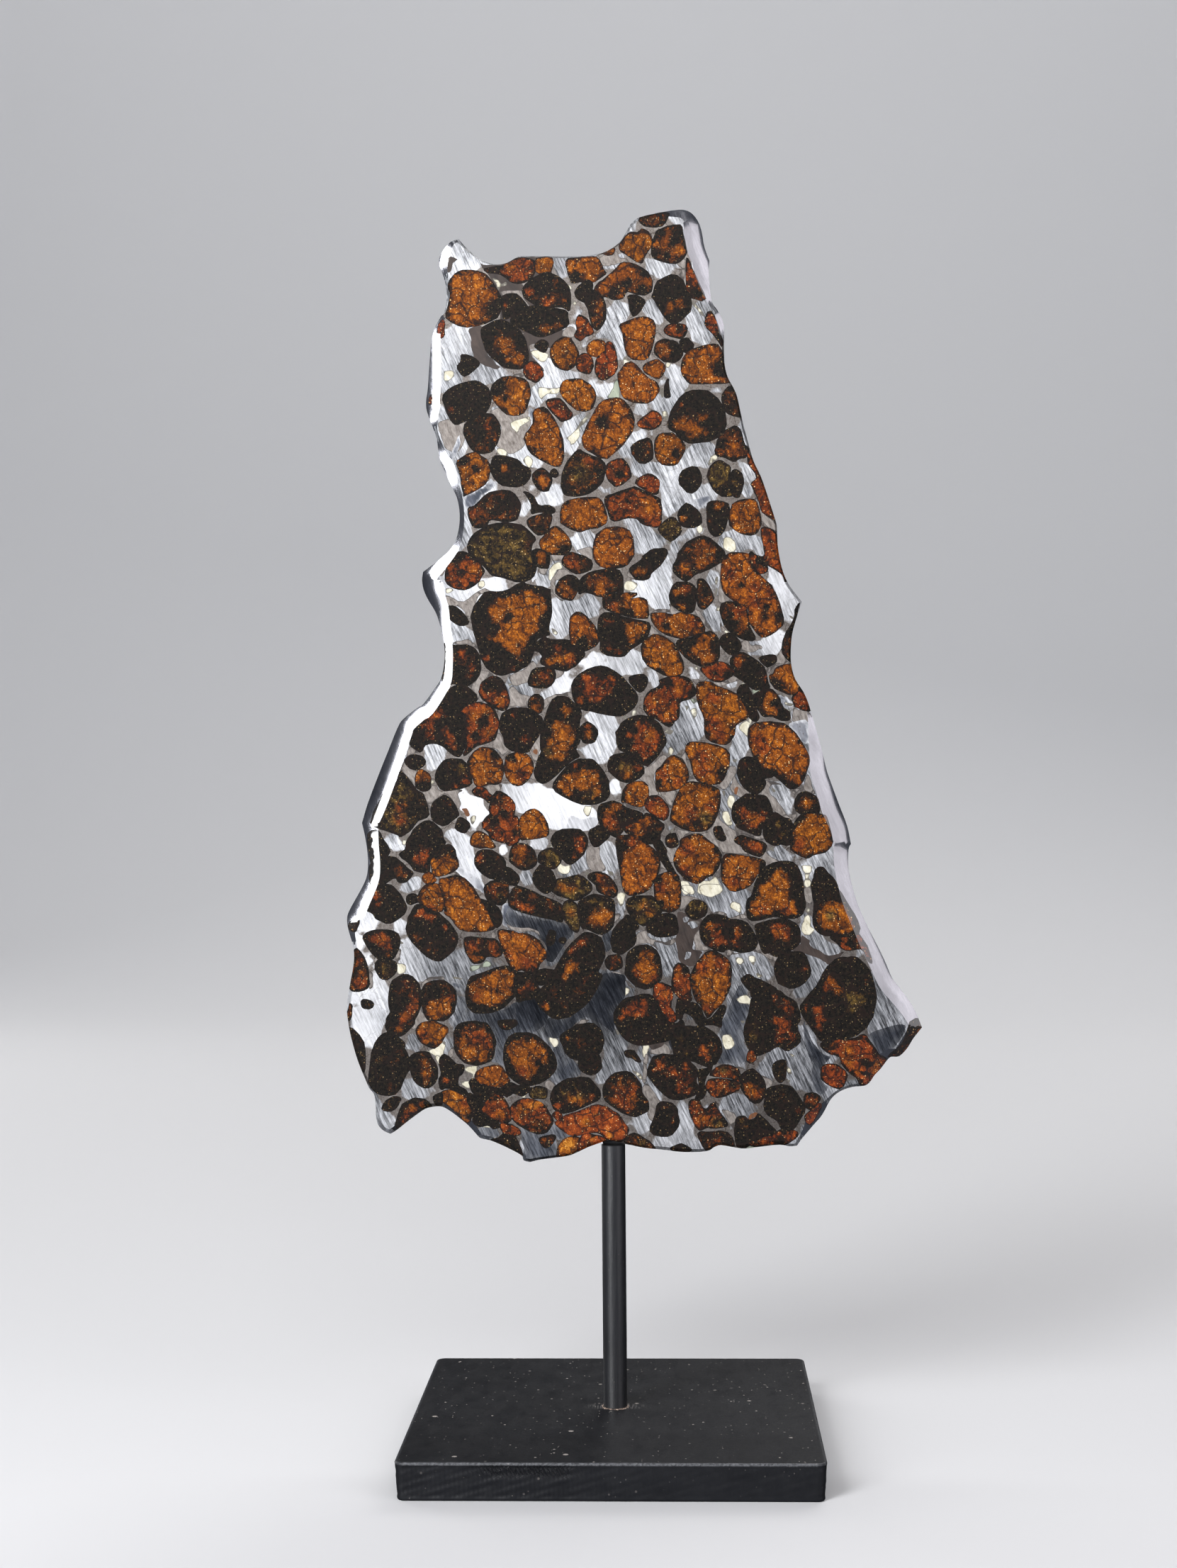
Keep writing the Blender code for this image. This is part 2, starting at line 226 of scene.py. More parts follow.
RIGHT_EDGE = [
    (1006, 437, 5), (1013, 451, 9), (1015.5, 464, 8), (1015.5, 490, 3), (1016.5, 515, 3), (1021, 533, 3),
    (1027.5, 545, 3), (1034, 560, 3), (1041, 592, 3), (1048.5, 621, 3), (1057, 651, 3), (1067, 672, 3),
    (1074.5, 693, 3), (1087, 732, 3), (1090, 744, 3), (1091, 768, 3), (1094, 789, 3), (1099, 809, 3),
    (1108, 828, 4)]
RIGHT_NECK = [
    (1125, 850.5, 4), (1117.5, 874, 5), (1111.5, 896, 4), (1109.5, 921, 3), (1110.5, 941, 3),
    (1116, 960, 3), (1127, 977, 3), (1134, 993, 4), (1140, 1013, 7), (1147, 1038, 13), (1154.5, 1064, 20),
    (1160, 1087, 24), (1168, 1110, 25), (1178.5, 1138, 27), (1189, 1166, 25)]
RIGHT_LOBE = [
    (1194.5, 1192, 25), (1191, 1200, 22), (1190.5, 1224, 20), (1195, 1247, 20), (1203, 1275, 20),
    (1213.5, 1300, 20), (1225, 1323, 22), (1241, 1355, 23), (1251.5, 1380, 22), (1260.5, 1392, 22),
    (1274.5, 1411, 20), (1285, 1429, 18)]
RIGHT_FOOT = [
    (1293.5, 1450, 15), (1281, 1466, 14), (1273, 1479, 14), (1261.5, 1490.5, 12), (1250, 1491.5, 12),
    (1244, 1497, 14), (1235.5, 1508.5, 16), (1227, 1517.5, 16), (1219.5, 1528, 12), (1211.5, 1532.5, 6),
    (1196, 1534, 4), (1181, 1539, 4), (1170, 1546.5, 4), (1163, 1555.5, 6), (1157, 1567, 12),
    (1151, 1577, 16), (1141.5, 1587.5, 14), (1132, 1598.5, 8), (1123, 1609.5, 5)]
UNDERSIDE = [
    (1118, 1617, 4), (1108, 1618, 4), (1094, 1616, 6), (1073, 1618, 7), (1045, 1621.5, 6),
    (1030, 1620, 4), (1011, 1617, 4), (1001, 1620, 4), (991, 1625.5, 4), (959, 1627, 5), (930, 1624, 5),
    (904, 1621.5, 4), (888, 1618.5, 4), (875, 1616, 4), (864, 1613, 4), (851, 1611, 4), (842, 1614, 4),
    (823, 1621, 4), (803, 1630.5, 4), (791, 1634, 4), (757, 1638.5, 4)]
LEFT_TOE = [
    (741, 1642.5, 5), (732, 1640, 5), (729, 1633, 5), (712.5, 1624, 6), (698.5, 1617.5, 6),
    (684.5, 1612, 6), (671, 1609, 6), (665, 1603.5, 7), (653.5, 1591, 9), (639.5, 1579.5, 9),
    (628, 1571, 8), (617, 1565, 6), (606, 1564.5, 5), (592, 1568, 7), (576, 1579, 9), (563, 1589, 9),
    (552.5, 1597.5, 7)]
LEFT_FOOT = [
    (543, 1603.5, 6), (534.5, 1600, 6), (526.5, 1593, 6), (522.5, 1582, 6), (521.5, 1560, 6),
    (519, 1547, 5), (512.5, 1539, 4), (506, 1524.5, 4), (495.5, 1498.5, 5), (486.5, 1467, 6),
    (482, 1443, 6), (480.6, 1424, 6), (484, 1397, 5), (489.5, 1367, 5), (490.7, 1350, 5), (489, 1336, 6),
    (485, 1323, 8), (481.5, 1310, 12), (480.4, 1296, 20), (484, 1285.5, 24), (493.5, 1268.5, 22),
    (503, 1251.5, 20), (508.6, 1237, 19), (510.2, 1219, 18), (508.5, 1198, 18), (505, 1179, 21)]
LEFT_RIM = [
    (501, 1163, 24), (508.5, 1136, 28), (524, 1095, 28), (539.5, 1057, 26), (551.5, 1028, 24),
    (560, 1015, 22), (580, 999.5, 20), (589, 993.5, 20), (606.5, 970, 18), (614.5, 957, 16),
    (618.5, 939, 13), (619.6, 920, 12), (617, 899, 13), (612, 879, 16), (606, 863, 21), (595.5, 846, 27),
    (588.5, 831, 30), (586, 817, 31)]
LEFT_NOTCH = [
    (588, 805.5, 26), (598.5, 798.5, 20), (611, 789.5, 16), (624.5, 778, 12), (632, 768, 10),
    (637.5, 754.5, 8), (640.5, 738, 7), (640.5, 720, 7), (637, 701.5, 8), (629.5, 685.5, 10),
    (618.5, 661.5, 16), (612, 645, 13), (608, 617, 5), (602.5, 601, 7), (594, 578.5, 20),
    (592.5, 564, 20), (595, 545, 19), (597.5, 510, 17), (600, 482, 14), (605, 460, 10), (614.5, 443, 7),
    (620, 433, 6), (622, 414, 6), (620.5, 398, 5), (615, 379, 9), (611, 368, 14), (613, 356, 15),
    (624, 341, 9), (631, 336, 6)]
OUTLINE = [TOP_EDGE, RIGHT_SHOULDER, RIGHT_EDGE, RIGHT_NECK, RIGHT_LOBE, RIGHT_FOOT,
           UNDERSIDE, LEFT_TOE, LEFT_FOOT, LEFT_RIM, LEFT_NOTCH]
OUTLINE_STEPS = 3
CRYSTAL_STEPS = 3
PATCH_STEPS = 4
GRAIN_PIXELS = 4.9
IRON_GRAIN_PIXELS = 5.5
BLOCK_POINTS = 3000
LONGEST_MITRE = 1.4
CROWDED_SHARE = 0.85
WOBBLE_LENGTHS = (40, 27, 18, 12)


def bend_between(a, b, c, d, steps):
    """Points of the smooth curve from b to c whose slope at each is half the way between its neighbours."""
    t = (np.arange(steps) / steps)[None, :, None]
    a, b, c, d = (corner[:, None, :] for corner in (a, b, c, d))
    bend = (2 * a - 5 * b + 4 * c - d) * t ** 2 + (3 * b - a - 3 * c + d) * t ** 3
    return (0.5 * (2 * b + (c - a) * t + bend)).reshape(-1, a.shape[2])


def smooth_loop(points, steps):
    """A smooth closed curve through the points."""
    return bend_between(np.roll(points, 1, 0), points, np.roll(points, -1, 0), np.roll(points, -2, 0), steps)


def smooth_stretch(points, steps):
    """A smooth open curve through the points, without the last one. Its ends carry straight on."""
    path = np.vstack([2 * points[0] - points[1], points, 2 * points[-1] - points[-2]])
    return bend_between(path[:-3], path[1:-2], path[2:-1], path[3:], steps)


def read_numbers(word):
    """The numbers of a word, parted by commas."""
    return [float(number) for number in word.split(",")]


def read_points(words):
    """Points from words of a column and a row. The row is counted upwards, so that left turns stay left."""
    return np.array([read_numbers(word) for word in words]) * (1, -1)


def in_blocks(points):
    """The points in blocks small enough to hold a table of each point against a whole path."""
    return np.array_split(points, len(points) // BLOCK_POINTS + 1)


def nearest_on_path(points, path):
    """For each point, its distance to the closed path, the nearest segment, and the share along that."""
    along = np.roll(path, -1, 0) - path
    length = (along ** 2).sum(1)
    found = []
    for block in in_blocks(points):
        offset = block[:, None, :] - path[None]
        share = np.clip((offset * along[None]).sum(2) / length, 0, 1)
        gap = np.linalg.norm(offset - share[..., None] * along[None], axis=2)
        segment = gap.argmin(1)
        rows = np.arange(len(block))
        found.append(np.stack([gap[rows, segment], segment, share[rows, segment]]))
    distance, segment, share = np.concatenate(found, axis=1)
    return distance, segment.astype(int), share


def is_inside(points, loop):
    """Whether each point is inside the closed loop: a ray to its right crosses it an odd number of times."""
    after = np.roll(loop, -1, 0)
    rise = after[:, 1] - loop[:, 1]
    rise = np.where(rise == 0, 1, rise)
    found = []
    for block in in_blocks(points):
        level = block[:, None, 1]
        crosses = (loop[None, :, 1] > level) != (after[None, :, 1] > level)
        at = loop[None, :, 0] + (after - loop)[None, :, 0] * (level - loop[None, :, 1]) / rise[None]
        found.append(((block[:, None, 0] < at) & crosses).sum(1) % 2 == 1)
    return np.concatenate(found)


def near_loop(points, loop, margin=0.0):
    """Which points lie in the loop's upright box, or within a margin of it."""
    return np.nonzero(((points > loop.min(0) - margin) & (points < loop.max(0) + margin)).all(1))[0]


def turns_left(loop):
    """1 for a loop that runs anticlockwise, and -1 for the other way: the sign of its signed area."""
    return np.sign(loop[:, 0] @ np.roll(loop[:, 1], -1) - loop[:, 1] @ np.roll(loop[:, 0], -1))


def inset_loop(loop, widths, share):
    """The closed loop moved inwards by a share of its rim's width, less the points crowded out at corners."""
    before = loop - np.roll(loop, 1, 0)
    after = np.roll(loop, -1, 0) - loop
    before /= np.linalg.norm(before, axis=1, keepdims=True)
    after /= np.linalg.norm(after, axis=1, keepdims=True)
    tangent = before + after
    tangent /= np.linalg.norm(tangent, axis=1, keepdims=True)
    inwards = np.stack([tangent[:, 1], -tangent[:, 0]], axis=1)
    mitre = np.minimum(LONGEST_MITRE, 1 / np.maximum((tangent * after).sum(1), 0.1))
    moved = loop + inwards * (widths * share * mitre)[:, None]
    distance = nearest_on_path(moved, loop)[0]
    return moved[distance > CROWDED_SHARE * widths * share]


def wobble(points, seed):
    """A smooth wandering value from -1 to 1 over the slice, made of crossing waves 12 to 40 pixels long."""
    draw = np.random.default_rng(seed)
    value = np.zeros(len(points))
    for length in WOBBLE_LENGTHS:
        turn = draw.uniform(0, 2 * math.pi)
        wave = points @ np.array([math.cos(turn), math.sin(turn)]) * 2 * math.pi / length
        value += np.sin(wave + draw.uniform(0, 6.3)) * length / sum(WOBBLE_LENGTHS)
    return value


# Patches of other minerals between the crystals, each a letter and its corners. t is taupe-grey swathing
# iron, s slate-grey, c cream phosphate, g green-grey, m iron painted dark blue-grey as a painted reflection
# of the dim surroundings, r rusty, d dark ground, and w bright iron again. Later ones lie over earlier ones.
# In both lists an indented line carries the one above it on.
PATCHES = """
d 670,369 686,372 720,362 745,361 768,366 772,392 768,420 774,452 770,478 735,470 700,455 700,430 690,400
  680,385
d 626,360 639,362 636,366 632,369 630,375 627,381 623,380 625,369
d 676,470 692,452 724,470 748,464 792,466 798,482 772,490 742,484 744,502 762,522 742,528 726,508 704,520
  690,496
t 612,594 640,590 652,600 648,620 640,636 622,634 614,612
t 684,580 700,574 720,580 738,578 743,592 735,612 732,630 714,640 700,632 690,622 700,606 694,592
t 698,410 725,408 732,420 740,430 735,433 728,428 720,415 700,416
t 728,392 740,392 738,405 730,400
t 720,362 732,362 728,370
t 717,527 733,525 730,532 718,532
t 787,466 800,460 807,468 800,475 788,473
t 840,362 862,353 868,362 880,366 878,371 862,372 850,376 842,372
t 950,372 962,366 958,395 952,388 956,380
t 917,472 925,470 933,478 950,482 952,488 940,480 925,480 917,487 915,500 925,508 912,512 908,505
d 655,462 674,460 678,490 686,505 698,515 690,519 668,510 660,497 657,478
s 740,575 746,576 746,592 740,590
s 640,613 642,628 632,648 625,645 632,632
s 650,700 660,695 678,685 686,675 690,685 672,700 665,710 651,716
s 975,705 990,700 998,703 990,712 980,718
c 689,393 695,392 700,398 708,397 708,402 700,402 697,408
c 795,400 801,402 800,408 795,405
c 800,422 807,426 804,430 800,428
c 744,493 760,496 768,500 760,510 745,500
c 619,524 630,520 632,530 624,536 619,534
c 968,424 972,424 985,442 986,448 980,442
c 874,505 880,508 885,511 876,516 873,511
c 933,511 940,512 937,520 934,518
c 714,596 740,586 738,596 728,602 722,609
c 754,546 770,548 783,545 782,555 765,556 756,562
c 732,650 738,643 744,648 745,656 738,659
c 693,636 700,632 707,636 708,642 700,643
c 793,619 799,613 826,580 822,592 812,606 812,617 800,627 797,622
c 925,552 930,548 930,560 927,562
c 928,582 936,582 937,590 933,594 929,588
c 960,552 966,545 963,556
c 995,650 1002,642 1006,648 1000,653 995,658
c 977,743 985,742 986,750 980,754 976,750
c 935,764 943,766 940,769 936,768
c 1015,760 1028,762 1032,775 1025,780 1014,774
g 851,560 858,548 863,535 868,545 868,560 875,566 862,562
c 773,796 785,795 786,802 780,805 772,819 767,815
c 667,825 675,819 677,827 670,832
c 620,832 628,830 633,833 628,836 622,837
c 772,887 780,893 778,898 773,895
c 710,964 717,966 712,968
t 622,840 647,848 673,830 687,835 677,837 667,845 655,873 647,862 637,856 625,855
t 670,947 680,947 690,955 678,958 670,977 673,987 677,990 670,990 655,968 663,963 669,953
t 715,969 730,980 743,985 737,993 740,1002 753,1010 760,1010 757,1018 747,1005 733,998 712,998 712,988 710,977
t 713,955 735,943 745,933 752,943 743,952 739,962 720,968
t 603,803 618,795 620,802 617,813 608,808
t 770,782 785,782 790,783 787,792 773,790
t 770,823 778,808 787,803 803,811 782,818 777,828 780,838 790,847 782,847 772,835
t 752,800 760,802 767,802 763,812 757,810
t 630,908 650,903 663,908 667,917 657,912
t 777,947 790,948 778,958
t 758,992 770,983 800,978 803,988 795,984 783,983 770,992 763,1002
s 745,815 750,800 752,803 750,815 745,822
s 703,965 710,970 712,988 708,977
t 811,775 825,772 830,777 828,791 810,781
t 879,808 882,805 885,813 893,820 880,815
c 875,822 892,822 893,827 888,833 877,835
t 1002,802 1017,792 1013,803 1013,833 1033,852 1022,850 1010,853 1007,843 1009,810
c 1003,817 1008,815 1007,823 1003,827
c 1003,832 1007,833 1005,842
c 1007,855 1012,860 1010,863 1005,862
t 1040,853 1048,860 1051,870 1047,865 1042,857
t 910,868 923,860 943,863 947,868 927,865
t 938,853 948,862 955,865 947,870 940,865
t 973,863 982,865 995,885 992,888 983,878
t 910,897 913,883 922,892 945,907 952,918 948,917 937,903 925,897
c 1015,890 1022,893 1017,895
t 1010,878 1017,890 1013,893 1010,886
t 1038,907 1047,905 1055,912 1060,910 1068,912 1068,917 1050,923 1042,920 1028,927 1022,938 1020,930 1037,920
  1040,913
c 973,943 978,942 977,947
t 980,943 988,942 982,947 1000,962 995,962
t 1000,963 1017,962 1028,955 1038,960 1007,970
c 1035,962 1043,965 1047,970 1043,969
g 967,988 973,986 977,990 972,993
c 960,997 965,998 962,1003
c 968,1003 975,1000 977,1008 972,1015
c 885,1003 892,1003 892,1010 885,1010
c 872,1013 878,1012 877,1017
g 1055,975 1060,973 1068,974 1062,978 1058,982
c 1107,870 1113,872 1112,875
t 1095,917 1100,928 1107,938 1090,938 1088,932
t 1065,937 1078,944 1088,938 1083,947 1078,950
s 1090,982 1102,987 1100,995 1098,1000 1095,990
c 1102,993 1112,995 1110,998 1103,996
c 1098,998 1108,1003 1107,1005
t 1113,1003 1123,1002 1135,1007 1137,1020 1112,1020
t 572,1053 580,1062 585,1063 567,1068 563,1077 580,1090 578,1103 580,1113 563,1092 557,1087 567,1065
t 592,1118 602,1108 608,1110 615,1117 643,1114 640,1123 643,1137 638,1143 627,1125 618,1123 603,1133 600,1147
  590,1123 583,1118
c 560,1187 567,1182 568,1187 563,1195 558,1192
c 598,1100 603,1103 607,1103 603,1110
c 657,1155 663,1152 665,1158 660,1165 657,1162
r 645,1142 652,1143 656,1152 650,1152 647,1147
t 694,1037 700,1037 705,1052 717,1058 708,1062 702,1068 695,1060 687,1055
t 660,1110 675,1110 702,1108 688,1123 675,1111
s 640,1227 650,1228 675,1247 677,1260 668,1258 645,1238 637,1232
t 630,1233 638,1232 642,1238 627,1235
t 710,1250 722,1252 715,1257 712,1260
c 1037,1027 1052,1015 1059,1015 1050,1028 1048,1042
c 1028,1073 1033,1072 1033,1077
c 1013,1118 1018,1118 1016,1125
c 1022,1123 1031,1127 1027,1143 1021,1137
c 1013,1147 1022,1148 1027,1160 1023,1166 1013,1157
c 1078,1197 1083,1195 1085,1203 1080,1200
c 1082,1113 1087,1117 1084,1120
c 1125,1223 1137,1222 1139,1230 1135,1238 1138,1248 1132,1254 1128,1248 1129,1235
c 980,1247 995,1243 1005,1239 1010,1262 980,1262
c 952,1247 962,1243 968,1252 967,1262 957,1262
t 980,1105 990,1110 1008,1108 1022,1088 1023,1082 1032,1083 1032,1093 1017,1115 1008,1112
t 1030,1097 1038,1110 1052,1120 1040,1127 1024,1115
r 1031,1112 1036,1113 1034,1122 1030,1120
t 980,1175 990,1175 1000,1165 1010,1142 1011,1160 1037,1178 1030,1185 1057,1212 1070,1208 1073,1202 1080,1210
  1093,1215 1095,1218 1073,1223 1070,1215 1047,1208 1023,1205 1015,1207 1010,1227 1003,1233 1012,1203 983,1180
t 1037,1175 1053,1180 1068,1178 1070,1187 1053,1183
t 1072,1103 1097,1108 1083,1110 1080,1120 1088,1128 1108,1155 1113,1143 1117,1148 1110,1160 1083,1143
  1075,1130 1067,1122
t 1127,1110 1133,1093 1138,1105 1143,1122 1130,1117
t 1057,1248 1067,1240 1067,1248 1062,1256
t 1110,1117 1123,1113 1115,1123
s 1112,1020 1130,1018 1135,1035 1133,1050 1125,1048 1108,1027
c 818,1140 828,1138 828,1145 823,1153 818,1147
c 783,1218 790,1222 800,1223 797,1233 790,1235 780,1230
c 820,1232 825,1232 823,1237
c 850,1228 858,1232 857,1237
c 932,1032 943,1032 940,1037 933,1036
c 937,1057 945,1057 943,1065 938,1069
c 767,1195 773,1193 772,1198
c 940,1172 945,1170 942,1176
t 740,1058 750,1045 757,1033 753,1073 745,1073
r 748,1058 752,1060 751,1066 747,1064
t 740,1098 748,1088 762,1103 750,1103
t 902,1085 917,1078 928,1065 935,1072 918,1093 922,1118 932,1117 950,1118 943,1133 940,1143 932,1128 922,1123
  910,1125 908,1110 900,1102 895,1100
t 955,1072 960,1062 963,1077 973,1098 990,1108 973,1105 960,1108 965,1097
t 872,1133 887,1140 903,1147 887,1143 875,1140
t 947,1168 958,1173 990,1175 987,1178 963,1178 953,1187
t 822,1185 823,1195 838,1195 840,1208 848,1230 823,1225
t 925,1208 940,1228 927,1228 923,1235 925,1223
t 932,1198 950,1198 943,1220 937,1213
t 913,1257 920,1242 917,1248 910,1260
m 800,1153 815,1157 835,1155 837,1163 823,1173 795,1170
c 618,1302 627,1303 637,1315 628,1312 620,1307
c 552,1363 563,1362 566,1367 563,1375 553,1375
g 657,1365 675,1362 680,1357 687,1365 670,1368 658,1372
c 633,1381 645,1383 642,1385 633,1383
c 652,1434 665,1438 660,1441 652,1438
c 543,1383 550,1377 548,1383
c 583,1478 597,1485 620,1472 620,1487 612,1500 607,1492 595,1487
g 663,1322 670,1322 668,1324
c 557,1327 561,1333 557,1334
t 587,1390 597,1382 617,1380 617,1386 603,1385 588,1395
t 687,1317 700,1312 693,1317 695,1327 687,1325
t 552,1343 558,1343 557,1355 552,1358
t 520,1352 527,1357 522,1367
t 512,1373 518,1377 518,1392 512,1397
t 587,1420 588,1430 600,1443 592,1450 573,1453
t 625,1488 632,1480 634,1488 628,1495
s 628,1387 640,1388 647,1397 635,1398
s 702,1282 712,1277 720,1290 720,1310 703,1307
c 850,1393 857,1391 877,1395 882,1400 873,1408 852,1402
c 766,1468 773,1465 782,1472 777,1480 770,1473
c 867,1260 877,1262 875,1270 870,1280 864,1268
c 902,1474 908,1475 909,1483 902,1495 900,1487
c 861,1452 867,1458 865,1462
t 892,1318 907,1315 910,1323 932,1330 948,1323 955,1308 953,1293 957,1290 958,1307 950,1328 938,1335 918,1330
  923,1343 907,1333 880,1340 870,1350 870,1345 883,1335
t 861,1292 870,1292 860,1305
t 710,1305 748,1312 760,1327 747,1317 730,1317 713,1312
t 807,1448 817,1440 825,1443 817,1447
t 910,1487 918,1477 932,1473 940,1488 917,1490
t 840,1383 848,1375 870,1373 868,1377 850,1377
t 877,1383 890,1395 880,1392
m 710,1283 727,1293 760,1300 783,1302 803,1315 790,1333 773,1358 762,1352 765,1340 758,1328 748,1313 710,1307
m 710,1425 732,1412 750,1413 767,1437 748,1458 710,1463
m 842,1380 850,1375 873,1377 877,1393 873,1413 862,1427 860,1458 848,1450 820,1437 800,1450 783,1467 765,1463
  762,1448 768,1438 785,1440 803,1433 830,1403
m 843,1322 855,1315 862,1327 855,1342 847,1343
c 955,1252 970,1250 973,1262 965,1263 957,1258
c 982,1250 1010,1250 1012,1260 997,1268 983,1262
c 1027,1273 1037,1275 1040,1285 1035,1289 1025,1282
t 955,1265 987,1272 992,1282 985,1273 975,1271 965,1277 954,1286
d 950,1290 965,1292 985,1300 974,1325 972,1340 985,1345 972,1364 960,1362 951,1352 948,1330
w 958,1294 965,1297 963,1303 958,1301
w 965,1302 980,1302 980,1307 972,1311 966,1307
t 975,1317 980,1313 985,1333 995,1340 977,1342 973,1332
w 962,1344 968,1345 967,1353 960,1355
t 1001,1289 1008,1286 1017,1290 1023,1295 1042,1290 1057,1307 1073,1301 1060,1309 1067,1340 1057,1343
  1060,1333 1055,1308 1043,1298 1025,1301 1017,1295
t 1087,1296 1093,1295 1113,1302 1122,1308 1093,1297
t 1018,1347 1023,1337 1027,1345 1040,1345 1027,1348 1023,1351
c 1032,1352 1040,1353 1043,1360 1038,1362 1033,1358
c 1050,1350 1058,1350 1060,1357 1057,1363 1050,1357
c 1062,1373 1069,1377 1065,1382 1062,1378
t 1068,1343 1077,1345 1087,1350 1108,1340 1110,1342 1097,1350 1087,1357 1069,1348
d 1125,1322 1135,1327 1137,1335 1163,1349 1182,1343 1176,1353 1162,1362 1150,1353 1110,1341 1122,1333
c 1130,1292 1137,1293 1138,1307 1143,1313 1137,1320 1128,1320 1124,1310
c 1130,1283 1136,1283 1135,1289 1131,1288
t 1128,1255 1138,1255 1138,1277 1128,1272
m 1033,1397 1040,1392 1050,1407 1055,1413 1043,1450 1043,1467 1048,1483 1043,1500 1007,1500 1013,1483
  1013,1463 1010,1450 1020,1427
c 1035,1407 1047,1405 1055,1412 1052,1418 1043,1418 1033,1412
c 1012,1463 1025,1461 1030,1472 1027,1480 1018,1481
c 1040,1441 1045,1441 1044,1444 1041,1443
m 1127,1441 1137,1467 1155,1488 1165,1492 1152,1510 1155,1525 1160,1534 1152,1545 1143,1538 1138,1520
  1140,1500 1130,1480
c 1108,1487 1114,1490 1110,1492
c 1103,1505 1110,1510 1110,1516 1104,1513
c 1103,1524 1108,1525 1106,1528
r 1050,1575 1057,1570 1065,1572 1057,1578 1050,1583
t 1012,1568 1025,1569 1032,1577 1030,1593 1032,1620 1028,1618 1027,1593
t 1067,1518 1083,1525 1077,1538 1073,1540 1072,1528
g 1050,1617 1083,1615 1097,1617 1067,1621 1043,1622
t 670,1502 687,1499 678,1504
c 649,1508 667,1507 660,1527 657,1525 658,1518 650,1513
c 643,1530 655,1528 658,1537 650,1537
c 662,1555 672,1557 668,1563
c 612,1493 617,1503 617,1513 613,1507 608,1495
t 625,1488 630,1480 633,1487 628,1495
m 667,1598 677,1590 690,1590 698,1604 685,1608 678,1611 667,1603
c 675,1580 683,1587 687,1592 673,1592
r 561,1527 558,1537 552,1545 548,1548 557,1535
m 637,1410 649,1410 650,1427 635,1455 633,1447 637,1430
m 653,1432 703,1427 720,1422 720,1458 708,1467 704,1500 715,1518 700,1505 687,1500 692,1490 687,1453 670,1445
  653,1447 643,1452
c 728,1543 735,1545 733,1551 728,1548
t 762,1530 768,1525 777,1533 773,1542 763,1537
m 773,1482 782,1480 790,1493 803,1498 813,1517 783,1530 770,1525 780,1510 778,1493
m 765,1597 777,1587 795,1602 782,1610 777,1607 778,1635 750,1640 733,1638 732,1622 727,1587 740,1597
t 900,1540 907,1530 920,1548 928,1557 920,1563 922,1578 915,1583 908,1577 907,1568 909,1560
t 902,1492 909,1490 907,1510 905,1528 901,1527
c 887,1512 898,1517 900,1525 890,1518
d 910,1475 918,1468 930,1470 928,1478 912,1482
t 823,1602 830,1602 838,1608 828,1614
t 842,1562 848,1560 848,1567 843,1567
m 938,1468 950,1467 950,1483 943,1485
m 1225,1456 1265,1445 1267,1460 1237,1490 1220,1465
s 1050,685 1055,685 1055,700 1050,700
t 1058,703 1063,706 1064,718 1060,710
t 1065,720 1072,727 1090,742 1090,753 1068,737
"""
